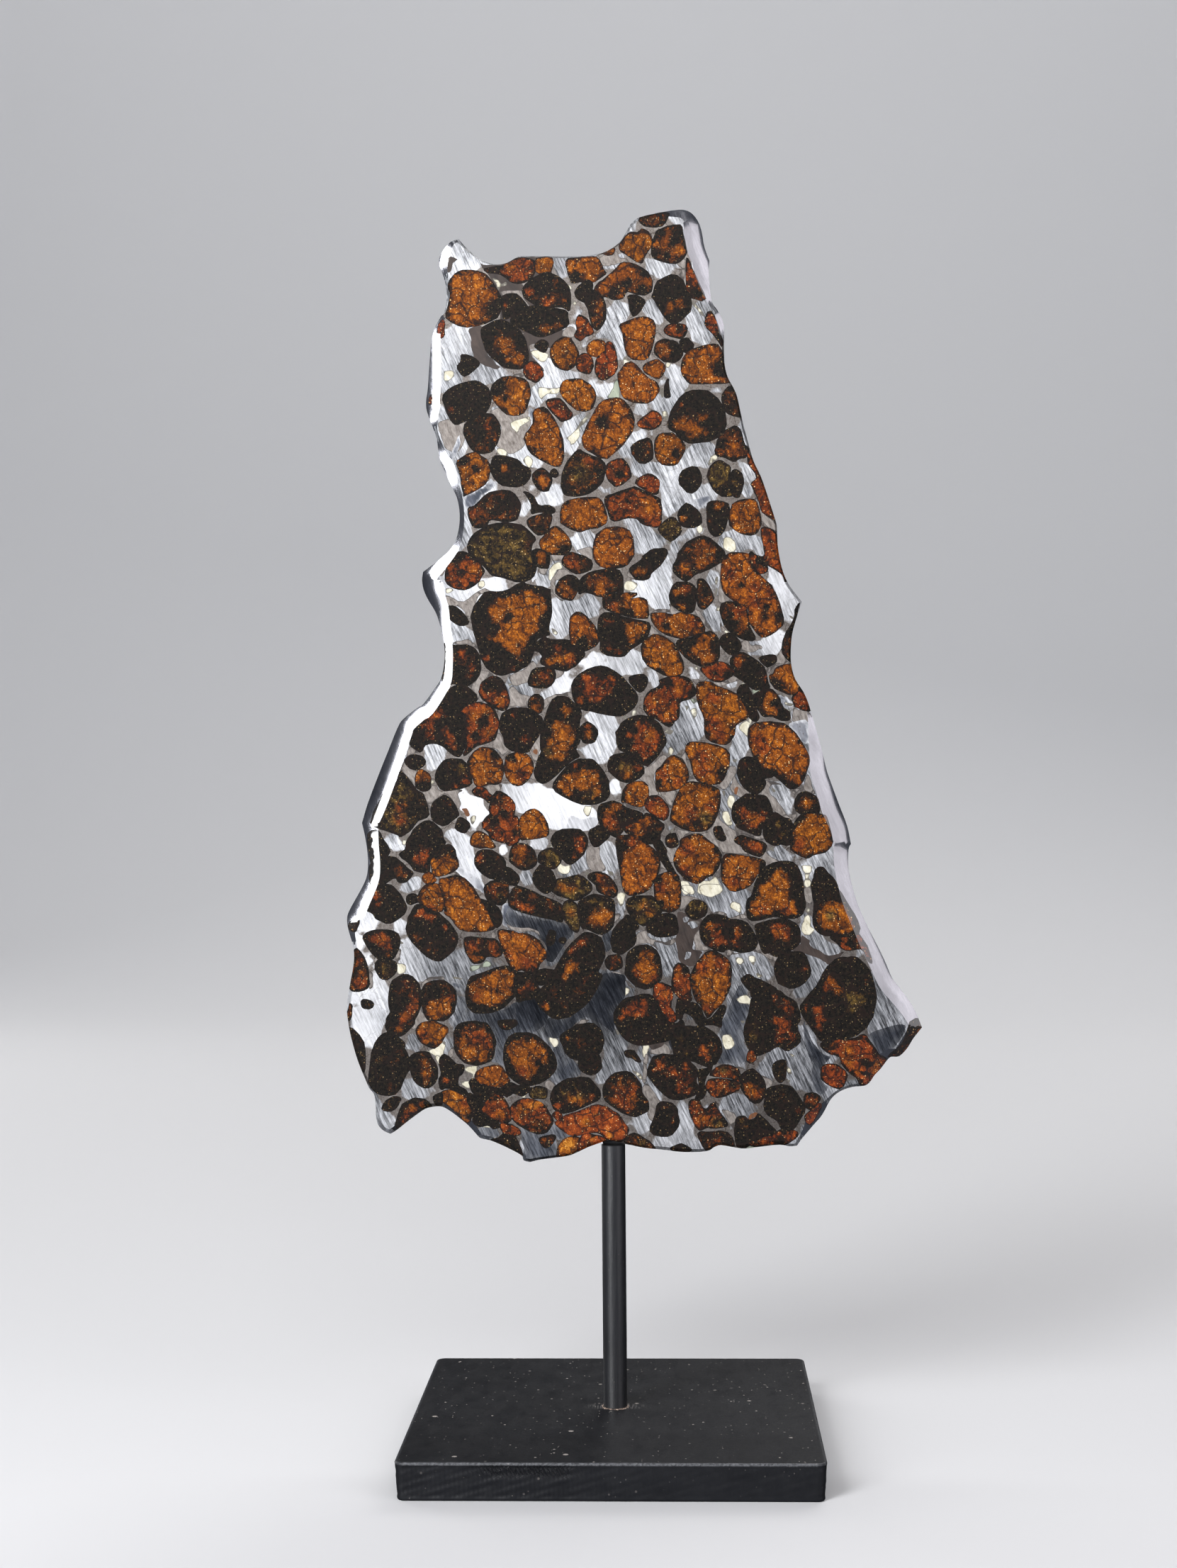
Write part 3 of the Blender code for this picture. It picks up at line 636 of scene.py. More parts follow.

# The crystals, each a letter for its main colour and its corners: A amber, R rust-orange, F bright red, Y
# bright honey, B brown, K black, O olive-brown, D dark slate. F and Y, in the crystals just above the rod,
# are a painted glow: light shining through from behind, painted into their colour. After a bar comes a
# capital and the outline of a core of that colour, or small letters of the same colours with the column, row
# and radius of soft spots.
CRYSTALS = """
A 625,397 634,384 650,379 668,381 683,390 700,418 700,436 688,450 652,460 622,447 626,425 627,410
  | k 692,436,14 a 634,424,10
R 676,377 700,373 718,363 735,362 748,368 748,382 742,392 728,398 712,395 700,385 685,383
  | k 690,378,8 a 712,374,8
A 750,363 772,362 770,384 758,386 749,380
B 760,384 775,386 796,404 798,436 790,434 775,432 758,433 735,420 731,408 738,396
  | k 758,404,14 r 740,412,8 r 765,425,10
K 702,416 722,414 737,430 728,436 708,449 702,440 | r 706,428,6
K 716,446 728,435 745,431 790,437 795,448 793,460 760,474 742,470 716,456 | a 765,463,9 a 778,459,6
K 672,465 682,455 700,450 718,458 730,470 738,490 738,510 728,520 700,515 678,492 | a 706,487,16 a 720,504,12
R 732,518 740,509 750,511 758,520 760,530 752,538 742,536 733,528
A 770,500 772,487 793,474 809,493 809,507 802,518 790,522 777,515
K 645,498 665,505 668,515 648,530 638,518 643,508
R 612,452 619,450 619,470 613,475 609,470
K 758,478 766,482 766,490 760,496 747,488
B 896,306 925,300 938,301 928,319 903,318
A 867,347 880,329 893,327 903,323 915,340 903,363 898,371 875,357
B 918,331 925,323 953,317 958,333 963,357 947,372 917,365 913,353
  | a 925,345,9 k 947,341,7 k 928,328,6 a 952,352,8
R 962,368 967,368 974,387 990,423 968,420 963,407 | k 975,413,10
A 793,366 805,362 835,362 845,378 848,386 826,399 812,396 800,398 793,378 | k 803,393,9 a 835,382,8
A 848,392 870,372 884,371 908,384 915,404 910,413 898,417 880,412 872,420 860,422 848,418 838,417 832,408
  838,398
  | k 862,409,9 k 880,398,6 k 900,408,10 k 903,386,7
B 812,408 822,404 845,420 848,450 836,465 828,455 820,428 812,420 | a 838,432,7 k 830,412,6
K 806,408 822,394 830,400 828,408 822,426 806,418
K 922,397 950,388 968,422 967,440 948,456 935,452 917,424 914,418 | a 952,430,9 a 938,438,8
K 880,418 893,417 904,427 893,443 885,445
A 870,457 902,447 919,460 912,497 903,508 880,503 872,470
R 931,467 937,458 958,458 963,465 960,475 953,478 940,475 | k 952,465,5
B 919,486 927,480 940,480 951,486 958,498 953,508 940,512 927,508 918,498 | k 950,496,12 a 930,495,9
K 953,483 962,478 970,482 972,490 967,497 958,497
R 988,457 997,439 1012,474 1012,490 1005,478 | k 1008,478,7
A 955,523 963,498 1000,486 1012,495 1015,512 1025,539 1010,542 977,542 965,540 | k 1010,520,12 a 980,518,18
A 823,488 832,479 845,481 850,492 842,503 828,502 822,496
R 808,505 818,498 828,504 831,516 825,527 812,524 806,515
R 850,483 860,488 865,520 846,537 836,530 833,515 838,503 848,494
A 866,528 884,510 908,533 920,540 924,552 908,569 880,565 871,556
A 901,517 918,508 933,517 925,535 907,528
R 811,444 822,450 831,468 820,474 812,480 804,474 808,464 806,455
A 842,357 851,352 860,349 861,353 857,359
K 617,562 625,548 653,537 670,538 682,548 686,562 677,582 648,593 637,598 628,592 | r 628,577,7
B 653,593 680,582 692,588 698,600 698,615 692,630 683,638 670,639 658,633 647,610 | r 680,600,7 k 665,608,10
A 685,548 702,531 733,534 742,555 732,582 708,583 690,565 | k 697,546,13 k 705,560,5
R 763,567 783,562 800,583 798,591 788,594 780,590
A 783,548 788,538 800,534 815,536 828,544 835,558 831,573 820,580 808,578 788,561
A 747,578 767,578 787,620 787,653 775,658 757,648 743,640 733,618 745,597
A 637,650 660,637 678,647 685,660 677,683 650,698 646,695 640,663 | k 662,662,7 k 648,650,6
K 687,648 697,642 723,648 733,657 742,663 740,675 730,685 703,685 686,667 | a 704,660,7
B 745,668 758,661 770,670 772,680 767,692 757,692 748,683 | a 760,678,8
K 770,667 775,662 781,667 778,673 772,673
B 793,653 810,634 820,640 847,653 845,677 835,690 820,698 798,700 788,695 785,680 | o 812,668,14 r 825,650,8
B 653,718 663,713 683,695 712,692 728,712 722,732 708,737 687,733 678,742 665,744 657,737
  | r 660,722,8 k 715,705,10
O 653,767 663,752 693,738 728,741 748,758 745,768 743,780 750,800 747,812 737,820 720,821 703,815 687,812
  677,800 655,783
  | r 742,770,9 k 745,805,8
B 740,732 763,723 772,728 767,748 753,756 739,742
K 732,693 743,698 753,712 768,713 777,720 772,725 753,723 743,725 743,710
A 755,763 772,745 783,745 799,765 795,782 768,782 758,775 | k 790,775,8
A 787,715 800,705 830,702 842,707 850,730 845,742 820,748 808,750 785,738
A 842,567 858,562 875,566 889,592 880,618 850,647 823,635 815,625 818,610 833,580 | k 843,596,10
R 893,597 913,581 923,583 927,592 925,600 917,606 905,606
K 940,582 960,555 992,553 1012,572 1019,600 1005,620 972,626 957,622 947,612 937,603
  | a 958,597,15 a 975,608,12 a 987,590,6 r 955,570,5
B 1013,558 1027,545 1038,577 1041,590 1022,585 1015,575
B 1003,637 1010,615 1030,602 1038,607 1043,623 1050,637 1048,645 1038,648 1028,653 1017,647 1007,645
  | k 1013,628,7 a 1028,630,7
O 1000,655 1013,652 1025,662 1022,675 1023,692 1027,702 1005,697 992,673 | k 1014,694,8
K 1023,677 1028,665 1037,665 1042,672 1042,688 1037,702 1030,703 1025,695 | o 1032,682,8
A 1027,713 1053,706 1063,714 1068,741 1061,753 1047,756 1024,743
K 991,717 998,708 1018,710 1023,720 1017,747 1010,757 1000,757 993,747 | a 1006,713,7 a 993,735,4
A 917,628 923,615 943,612 961,630 953,650 943,658 923,652 | k 948,640,7
B 883,633 903,620 913,622 915,647 897,654
R 850,655 873,648 883,665 883,675 865,686 855,682 850,672 | k 868,668,7
R 890,682 907,669 923,678 922,697 912,697
K 957,665 977,660 984,680 970,697 953,685
R 847,705 857,698 890,688 910,698 922,702 927,710 927,737 920,745 900,740 892,733 880,731 860,736 853,728
  | a 910,715,14
K 950,728 962,711 983,727 980,743 958,744 | a 956,733,5
O 922,748 937,733 947,733 956,750 940,764
A 835,755 857,744 882,750 888,783 872,801 847,802 831,787
B 952,780 963,767 987,757 1010,773 1017,783 1015,792 987,808 977,810 962,821 945,810 944,797 950,788
  | a 990,785,10 a 985,797,7 a 960,801,7 k 1011,787,7 k 955,786,7
K 882,803 898,792 903,783 917,776 935,777 930,793 913,810 908,818 890,818 | a 893,808,9
K 933,540 937,536 937,543 940,560 931,560
R 1050,640 1069,678 1083,720 1088,735 1070,724 1062,702 1053,684 1062,676 1050,655
R 1053,779 1060,784 1070,786 1072,778 1067,749 1076,745 1088,753 1091,769 1099,808 1105,820 1101,822 1096,812
  1077,799 1076,808 1062,809 1051,790
  | a 1087,785,5 k 1068,795,6
R 623,797 637,780 650,779 667,792 677,806 672,813 667,822 648,832 627,827 621,818
  | k 638,785,9 a 660,805,8 k 645,812,3 k 652,800,3
K 743,780 755,775 769,784 768,800 762,803 747,797 | a 757,787,8
B 787,790 800,780 828,791 826,805 806,810 790,800 | r 800,795,10
B 780,823 795,812 809,817 811,828 803,845 794,847 778,838 | a 790,832,9 k 802,822,6
B 811,820 832,806 868,805 873,837 862,836 845,843 820,836 811,838 | a 840,827,10 k 817,831,8 k 860,812,7
K 730,822 738,825 767,831 770,837 772,863 767,887 768,897 752,902 745,923 737,940 713,951 693,952 673,932
  658,870 677,837 702,835
  | A 730,828 763,842 763,868 754,873 756,881 751,890 742,898 733,920 722,925 712,921 688,905 679,897 700,888
  693,880 681,862 683,855 700,842 715,838
  | k 706,878,5 k 712,870,4 k 722,837,4 r 728,932,5 r 678,930,7 r 718,945,6
K 760,900 770,903 798,904 803,912 818,920 815,930 800,944 787,947 757,938 758,927 753,921 748,920 747,912
  | a 788,930,11 r 780,915,7 a 770,937,7 r 800,935,6
B 742,952 750,944 772,943 777,957 765,971 740,968 | r 762,955,8
B 742,985 750,981 758,985 761,995 753,1009 738,998
K 832,942 860,947 890,977 892,995 875,1008 863,1011 827,1005 815,1002 803,988 803,960
  | R 806,960 830,950 842,955 855,955 862,965 850,985 828,992
  | r 812,990,5
K 882,963 884,955 902,953 908,963 897,978
A 798,872 813,865 833,885 838,902 835,912 817,920 812,915 803,912 798,902 | k 815,913,10 k 832,905,5
K 612,912 633,911 658,912 670,928 669,953 653,968 632,965 618,966 | r 645,925,10 r 657,943,8 r 655,955,6
D 622,858 637,857 655,878 642,883 625,872
K 620,980 635,968 652,969 667,988 643,1002 637,992 628,980
K 568,1048 580,1025 603,1001 625,978 643,1005 650,1015 650,1052 642,1067 633,1067 610,1050 593,1052 585,1062
  | R 584,1022 595,1016 604,1020 606,1048 590,1045 587,1032
  | r 620,1030,6 r 628,1052,9 r 612,1008,8 r 626,1040,6 r 600,1010,7
R 642,1003 663,992 683,995 692,1003 697,1023 690,1045 670,1052 660,1058 647,1068 650,1052 650,1015
  | a 660,1010,8 a 680,1005,8 k 675,1018,7 a 685,1035,8 k 662,1040,6
R 670,972 677,960 690,955 703,962 712,990 702,1004 673,987 | k 692,967,9 k 680,972,6 a 700,992,7 k 706,970,5
A 885,845 902,845 908,855 907,873 883,872 853,863 845,855 844,843 853,838 893,838
  | k 850,848,8 k 866,842,7 r 858,855,8 k 880,866,8 k 870,858,6
K 839,873 853,865 883,874 910,880 907,900 883,918 870,928 843,922 840,908 837,897
  | A 880,877 905,883 908,892 892,906 882,908 878,887
  | r 848,878,7 r 865,921,7 r 852,915,6 r 855,880,5
A 911,870 923,865 943,868 955,866 980,873 988,893 965,899 955,903 925,892
  | k 935,885,5 r 925,875,7 r 975,880,9 k 983,890,4
B 950,905 978,899 988,893 997,893 1007,902 1009,927 1002,937 982,942 953,920
  | a 985,915,11 a 993,907,8 a 990,930,8 k 960,912,8 k 1005,915,5 k 970,905,6
A 898,913 912,898 923,897 945,910 959,945 943,957 907,940 | k 920,949,7 k 956,930,5 k 948,913,4 r 922,912,5
K 1010,903 1025,894 1040,913 1028,926 1012,915
B 1012,853 1038,853 1047,860 1052,887 1060,903 1040,903 1015,883
  | r 1035,865,9 a 1042,880,8 k 1025,885,9 k 1052,897,8
A 1012,803 1015,790 1025,782 1050,783 1054,800 1082,828 1090,843 1099,873 1095,887 1073,900 1062,895 1050,877
  1050,863 1043,855 1030,850 1013,833
  | k 1075,858,5 k 1073,872,5 r 1060,850,8 r 1085,840,9 k 1040,826,5 r 1025,810,9 k 1092,872,5 r 1060,830,8
K 1122,853 1115,883 1110,920 1109,935 1100,927 1097,917 1100,900 1113,877 1115,863
  | a 1106,903,5 a 1105,915,6 a 1105,926,4
A 1085,952 1090,943 1110,939 1113,950 1123,970 1113,982 1090,975 1083,968 1079,955 | k 1086,962,7 k 1092,972,8
R 1120,977 1124,972 1138,1003 1120,1001 1113,995 1112,985
K 1065,931 1080,925 1088,928 1089,935 1077,943
K 1025,930 1043,922 1072,943 1077,965 1078,972 1060,975 1043,963 1028,953 1030,947 1025,942
  | a 1040,929,7 r 1033,937,6 r 1073,957,6
R 982,947 990,940 1013,935 1030,950 1015,962 1000,962 | k 1022,955,5
R 599,556 606,556 610,560 602,568 596,566
K 1033,977 1040,968 1050,970 1062,1005 1065,1015 1058,1020 1050,1012 1040,988
K 1058,980 1078,973 1093,985 1097,997 1107,1007 1107,1017 1092,1017 1083,1012 1073,1012 1065,1007 1058,987
  | a 1080,985,9 a 1075,1001,8 r 1090,1000,6 a 1085,1005,6
B 978,823 983,818 990,822 1001,845 988,860 980,857 977,845
K 938,842 948,823 970,825 977,837 973,862 965,866 945,858 | r 960,832,9 a 948,836,8 a 955,857,7
K 563,1077 567,1068 585,1067 592,1073 591,1080 583,1087 575,1087
A 582,1088 598,1093 600,1112 592,1117 583,1115 578,1107 | k 594,1109,8 k 583,1112,4
K 612,1082 622,1073 645,1073 657,1093 655,1110 620,1117 607,1102 | r 649,1104,9 o 642,1085,8 r 635,1112,5
A 652,1077 668,1058 687,1057 702,1075 702,1100 695,1107 683,1108 672,1111 663,1108 660,1098 | k 691,1066,6
A 705,1077 710,1067 730,1062 746,1078 740,1100 723,1110 707,1097 | k 714,1070,6 r 732,1095,8
O 552,1103 558,1089 580,1115 590,1123 598,1150 582,1160 575,1170 558,1182 550,1178 520,1168 515,1158 522,1140
  537,1115
  | k 582,1140,14 k 592,1150,8 k 572,1148,6 k 556,1095,6 r 558,1160,9 r 556,1140,8
K 603,1135 618,1124 628,1127 639,1145 637,1155 617,1167 601,1153 | r 622,1133,5
K 635,1170 640,1156 648,1156 655,1163 655,1170 648,1177
K 555,1208 563,1200 568,1185 580,1168 598,1159 615,1172 619,1187 620,1192 600,1210 598,1233 577,1230 572,1223
  | r 591,1205,11 r 580,1214,8 r 595,1225,5
A 600,1213 607,1202 625,1193 633,1198 637,1210 638,1228 612,1238 603,1233
  | k 620,1200,9 k 608,1207,7 k 630,1208,4
K 515,1220 528,1216 538,1211 550,1212 567,1226 575,1234 565,1246 555,1246 547,1241 520,1258 512,1240
  | B 546,1230 552,1222 562,1222 572,1232 566,1242 556,1243 548,1238
K 510,1178 527,1175 533,1187 543,1203 530,1217 515,1218
A 588,1242 591,1235 600,1233 608,1243 603,1248 593,1248
A 656,1187 660,1178 668,1175 677,1177 691,1193 688,1198 662,1197
R 673,1166 678,1155 685,1150 683,1140 693,1118 713,1127 720,1140 719,1152 725,1157 728,1185 712,1195 707,1192
  685,1185 682,1177
  | k 690,1160,8 k 705,1150,5 b 700,1130,9 b 720,1175,7
A 725,1160 742,1143 758,1150 768,1172 763,1182 735,1186 728,1183
B 715,1197 723,1191 743,1197 752,1217 740,1229 728,1228 713,1217 | a 728,1207,11 o 742,1215,6
K 668,1203 688,1202 707,1218 703,1235 698,1243 677,1238 663,1220 | r 670,1214,8 r 695,1212,4
K 708,1225 726,1238 722,1250 712,1250 703,1243
R 659,1118 665,1112 675,1112 682,1120 688,1125 683,1135 677,1128 667,1125 | k 668,1120,5
K 697,1022 708,1003 735,1000 757,1013 757,1030 742,1058 735,1062 715,1060 706,1053 702,1038
  | r 735,1045,8 r 715,1011,6
K 757,1030 773,988 795,985 812,1003 814,1013 811,1020 812,1045 808,1053 807,1062 811,1070 800,1075 770,1102
  755,1106 747,1090 756,1062
  | A 775,1020 797,1020 803,1032 808,1045 795,1060 793,1070 785,1077 765,1070 761,1058 770,1040
  | o 766,1062,6 a 795,1003,7
K 811,1030 822,1020 836,1031 833,1048 816,1048 | a 822,1038,6 r 824,1026,6
K 778,1100 803,1075 825,1072 835,1077 849,1096 854,1120 842,1133 815,1136 777,1118
  | A 790,1092 830,1087 840,1090 843,1100 840,1108 845,1116 843,1124 835,1128 820,1128 808,1124 795,1124
  778,1112
  | k 808,1120,5 o 825,1122,8 r 805,1080,5
K 863,1035 876,1017 900,1011 922,1020 933,1043 929,1058 907,1082 893,1070 873,1062 866,1055
  | R 893,1020 905,1020 923,1035 925,1050 912,1072 903,1076 895,1068 887,1062 885,1050 893,1028
  | a 910,1040,9 r 881,1038,5
K 855,1070 873,1064 895,1074 902,1092 878,1106 853,1090 | o 875,1085,12 a 880,1095,8 r 893,1085,6
A 878,1108 903,1105 909,1125 898,1140 877,1134 870,1132 | k 873,1125,4
A 920,1090 927,1083 940,1068 956,1073 966,1095 955,1113 925,1118 919,1112
  | r 930,1095,9 k 922,1107,6 r 950,1105,7
R 908,1126 925,1126 938,1145 930,1159 905,1143 | a 925,1142,8
B 838,1140 855,1132 867,1134 878,1141 900,1149 898,1158 880,1163 870,1178 862,1183 840,1165
  | a 858,1142,9 r 855,1162,9 k 870,1150,7
B 874,1172 880,1162 900,1155 906,1148 930,1165 926,1178 925,1187 915,1192 905,1190 890,1180 880,1178
  | a 903,1163,8 a 895,1172,7 k 915,1182,10 r 880,1170,5
K 824,1178 838,1166 852,1175 853,1183 838,1195 830,1195 | o 838,1178,7
K 777,1175 812,1172 823,1188 817,1206 803,1219 793,1219 773,1195
  | R 803,1183 812,1180 820,1184 822,1195 810,1212 803,1215 800,1208 803,1198
A 863,1190 872,1180 892,1181 900,1188 917,1200 925,1222 911,1255 888,1264 877,1262 872,1250
  | k 870,1195,8 k 868,1210,6 r 885,1190,7 k 918,1205,5
A 961,1055 975,1048 1018,1058 1022,1082 1008,1107 978,1103 968,1077 | r 985,1070,11 r 985,1090,8 k 1012,1095,6
A 977,967 995,963 1008,970 1032,980 1047,1003 1050,1012 1032,1025 1030,1036 1018,1052 990,1042 987,1015
  978,992
  | r 1000,1022,11 r 1010,1040,9 r 1000,985,8 k 993,1038,4
R 907,980 925,968 925,960 958,955 973,968 975,980 967,988 953,993 952,1012 945,1020 938,1027 920,1016 912,1014
  902,1002
  | a 918,990,8 a 935,1008,10 a 952,972,9 k 937,965,6
A 941,1145 955,1112 972,1104 1003,1112 1009,1120 1010,1133 1002,1160 983,1175 945,1165
  | r 970,1150,10 k 975,1165,7 o 988,1155,10 r 995,1140,7
A 944,1215 952,1195 955,1185 975,1178 987,1182 1012,1207 1002,1233 990,1240 977,1248 955,1237
  | r 962,1200,9 r 960,1230,8 k 1005,1200,4
B 934,1182 947,1177 950,1193 943,1197 935,1196
K 915,1192 925,1187 933,1200 935,1210 945,1230 953,1240 938,1232 924,1212 920,1200
A 918,1243 935,1231 945,1233 953,1243 954,1272 950,1283 942,1288 928,1287 918,1275
  | r 925,1255,8 k 922,1240,5 k 926,1277,6 k 948,1240,4
B 823,1240 830,1233 848,1234 864,1252 860,1268 838,1260 833,1250 | a 848,1253,6 r 840,1245,6 k 830,1240,4
O 778,1243 790,1241 810,1236 827,1248 828,1258 817,1268 803,1272 773,1260 | a 785,1253,7 a 800,1255,7
O 756,1203 772,1198 786,1213 775,1228 753,1218 | k 758,1212,6
K 745,1242 755,1222 773,1232 778,1250 765,1262 755,1258
K 1000,1172 1010,1167 1018,1183 1013,1188 1006,1185 | r 1005,1175,4
B 1030,1187 1040,1180 1070,1190 1075,1197 1065,1210 1045,1202 1038,1193 | r 1060,1197,9
A 1013,1213 1025,1206 1068,1214 1073,1220 1070,1228 1062,1235 1052,1250 1030,1259 1013,1245
  | k 1068,1222,5 r 1030,1245,7
A 1049,1045 1053,1025 1080,1020 1107,1027 1132,1062 1134,1080 1125,1105 1110,1115 1092,1100 1075,1090
  1058,1072
  | k 1110,1110,8 k 1098,1102,7 k 1085,1093,7 k 1060,1075,6 r 1063,1045,9 r 1073,1060,7 k 1127,1098,4
K 1038,1075 1048,1069 1058,1072 1075,1090 1085,1097 1073,1100 1074,1107 1062,1122 1043,1112 1034,1092
  | r 1044,1083,7 o 1062,1115,6
K 1026,1148 1030,1135 1047,1122 1070,1124 1078,1130 1084,1150 1070,1168 1068,1178 1060,1180 1038,1170
  1030,1162
  | R 1040,1140 1060,1145 1072,1142 1078,1150 1070,1160 1058,1176 1040,1160
  | r 1033,1145,4 a 1058,1158,8
K 1072,1163 1085,1148 1100,1155 1110,1160 1117,1180 1107,1193 1095,1193 1085,1194 1071,1183
  | o 1092,1165,6 o 1100,1178,7
K 1114,1135 1124,1119 1143,1124 1150,1140 1145,1150 1122,1149 | a 1130,1135,10
A 1108,1195 1112,1185 1112,1170 1122,1152 1150,1150 1160,1155 1168,1188 1158,1203 1140,1207 1130,1212
  1112,1202
  | k 1115,1162,8 k 1125,1156,6 r 1120,1195,8
K 512,1283 518,1255 540,1250 552,1258 566,1280 562,1292 543,1305 525,1300 518,1292 505,1285
  | r 520,1268,8 r 527,1278,5
K 566,1266 575,1263 582,1266 583,1275 568,1278
A 582,1266 592,1250 612,1250 618,1258 619,1285 603,1288 585,1277 | r 600,1283,5
A 613,1248 620,1240 642,1238 660,1252 672,1272 687,1292 694,1309 672,1317 642,1313 628,1297 620,1290 620,1275
K 672,1270 697,1283 701,1303 692,1310 682,1288
B 677,1250 707,1243 711,1262 702,1278 682,1273 | r 690,1258,7 o 699,1265,4
K 573,1290 577,1280 585,1278 605,1289 612,1290 633,1312 639,1333 615,1357 595,1352 567,1322 568,1298
  | r 585,1290,10 r 600,1298,8 r 633,1325,7 b 600,1342,9 b 580,1325,8 r 622,1310,5
K 504,1327 515,1316 540,1314 557,1326 548,1355 525,1355
  | R 508,1326 515,1319 540,1320 549,1340 543,1347 525,1338 515,1335
  | a 530,1328,7 b 538,1350,6
K 521,1370 524,1358 532,1356 551,1360 549,1378 532,1385 | o 537,1370,10
B 491,1342 505,1352 512,1375 511,1397 492,1402 485,1398 484,1385 | a 503,1375,6 r 500,1390,9 r 500,1358,6
D 483,1310 487,1302 499,1301 494,1315 487,1316
D 501,1418 505,1413 518,1417 518,1423 512,1426 504,1424
B 484,1420 488,1422 488,1435 484,1443 480,1440
K 543,1393 550,1383 568,1377 584,1392 588,1412 583,1433 577,1442 575,1450 558,1465 542,1462 536,1453 537,1440
  543,1430 540,1418
  | b 560,1400,13 r 566,1388,9 r 578,1408,8 a 565,1435,9 r 560,1445,9 r 571,1425,8 a 556,1456,6 r 575,1440,5
B 590,1394 597,1388 620,1386 635,1400 636,1422 625,1440 603,1443 593,1437 586,1415
  | A 600,1413 622,1413 630,1418 628,1430 608,1442 592,1430
  | k 607,1402,10 r 630,1408,5
A 582,1450 600,1443 622,1450 625,1458 619,1467 605,1482 582,1468 | r 590,1462,8 k 600,1478,5
K 655,1385 663,1378 705,1365 722,1374 721,1398 719,1408 703,1424 680,1432 657,1428 650,1408
  | A 655,1392 665,1382 695,1370 708,1367 718,1375 716,1405 690,1422 662,1414 653,1405
  | r 665,1408,5 k 697,1402,3 k 685,1400,2
B 650,1345 649,1325 668,1325 690,1327 698,1333 702,1345 697,1352 680,1352 675,1358 668,1362 660,1360
  | R 682,1335 690,1331 696,1340 697,1350 690,1352
  | r 660,1335,8 k 677,1345,5
A 695,1320 702,1313 725,1318 747,1323 765,1347 755,1362 748,1377 730,1370 722,1372 708,1357 699,1332
  | r 735,1360,9 r 745,1370,8 r 712,1350,5 a 722,1337,10
B 711,1268 723,1252 757,1265 785,1278 788,1300 775,1300 718,1285
  | r 727,1280,9 k 760,1292,10 r 741,1285,6 k 776,1290,9 k 735,1268,7
O 787,1280 795,1272 805,1275 810,1285 812,1310 805,1317 790,1300 | a 798,1288,6
K 810,1275 832,1264 856,1270 861,1280 859,1307 843,1320 822,1312 813,1308
  | A 823,1299 843,1285 855,1287 858,1297 833,1315
  | o 828,1277,9 o 843,1275,6
O 880,1270 905,1265 917,1268 928,1288 912,1300 905,1307 895,1305 880,1290
  | a 903,1280,8 a 910,1288,7 k 885,1290,8
K 858,1315 873,1298 880,1292 895,1308 890,1315 892,1325 888,1335 872,1347 862,1345 857,1337
K 905,1310 918,1294 940,1290 948,1297 950,1317 942,1322 918,1322
K 880,1345 898,1335 920,1342 928,1375 918,1392 897,1396 880,1382 876,1370
  | A 897,1345 917,1347 922,1372 925,1380 905,1393 888,1375
  | r 893,1375,6 r 918,1382,6
R 915,1405 922,1388 940,1393 944,1402 940,1422 950,1438 937,1442 | a 932,1403,6
K 863,1425 878,1410 909,1404 922,1420 937,1443 947,1445 955,1440 960,1450 957,1462 945,1467 905,1476 878,1470
  861,1445
  | R 870,1425 878,1418 903,1408 909,1412 902,1440 893,1443 887,1435 875,1438 868,1443
B 847,1360 850,1352 860,1348 868,1350 872,1358 870,1367 862,1371 852,1369 | r 860,1358,5
D 743,1378 755,1370 775,1370 770,1378 765,1388 755,1392 745,1388
K 762,1392 793,1342 812,1322 823,1317 842,1325 847,1350 838,1372 843,1378 827,1412 798,1436 773,1438 755,1422
  748,1405
  | r 810,1330,10 r 800,1340,8 r 820,1322,7 a 795,1370,9 a 803,1365,7 a 790,1382,6 r 760,1420,8 a 765,1425,7
  r 820,1385,5 r 828,1376,5 r 838,1369,4 b 810,1400,9 b 790,1420,8 b 775,1402,8
K 720,1373 742,1378 755,1398 750,1405 745,1412 735,1412 722,1415 722,1385 | r 740,1395,8 r 728,1400,6
K 784,1470 788,1460 808,1448 832,1446 845,1463 842,1485 825,1497 798,1494 | b 815,1472,10 a 794,1466,3
D 768,1315 775,1315 778,1322 775,1332 769,1336 764,1332
D 782,1330 785,1325 791,1325 792,1330 787,1333
D 860,1330 867,1330 868,1340 863,1345 858,1342
D 876,1485 888,1484 898,1498 893,1500 885,1495 878,1493
K 1063,1238 1075,1223 1105,1216 1123,1230 1127,1262 1130,1277 1125,1290 1115,1296 1100,1297 1085,1294
  1060,1300 1048,1295 1047,1272 1055,1262
  | A 1068,1250 1092,1228 1103,1230 1108,1245 1105,1262 1118,1287 1110,1294 1080,1290 1065,1297 1052,1293
  1048,1283 1052,1273 1062,1268
  | r 1070,1285,8 r 1105,1285,7 a 1078,1275,6
K 1058,1308 1070,1302 1100,1297 1120,1309 1122,1330 1112,1340 1090,1350 1080,1345 1070,1345 1062,1322
  | R 1073,1303 1100,1302 1112,1318 1106,1326 1088,1325 1082,1315
  | a 1092,1318,6
K 981,1310 992,1293 1015,1293 1025,1298 1048,1303 1062,1332 1048,1345 1022,1341 1010,1344 987,1333
  | a 996,1307,6 r 1005,1325,11 r 1010,1308,8 r 1030,1322,9 a 1037,1318,5 o 987,1322,6 r 1000,1338,6
  r 1033,1335,5 r 1016,1330,6
O 961,1285 973,1271 990,1277 988,1293 970,1298 | k 983,1292,6
A 968,1385 970,1372 983,1352 992,1344 1005,1344 1024,1360 1024,1392 1012,1417 1003,1425 992,1438 983,1420
  975,1412
  | r 985,1365,10 r 1010,1362,10 r 992,1425,6
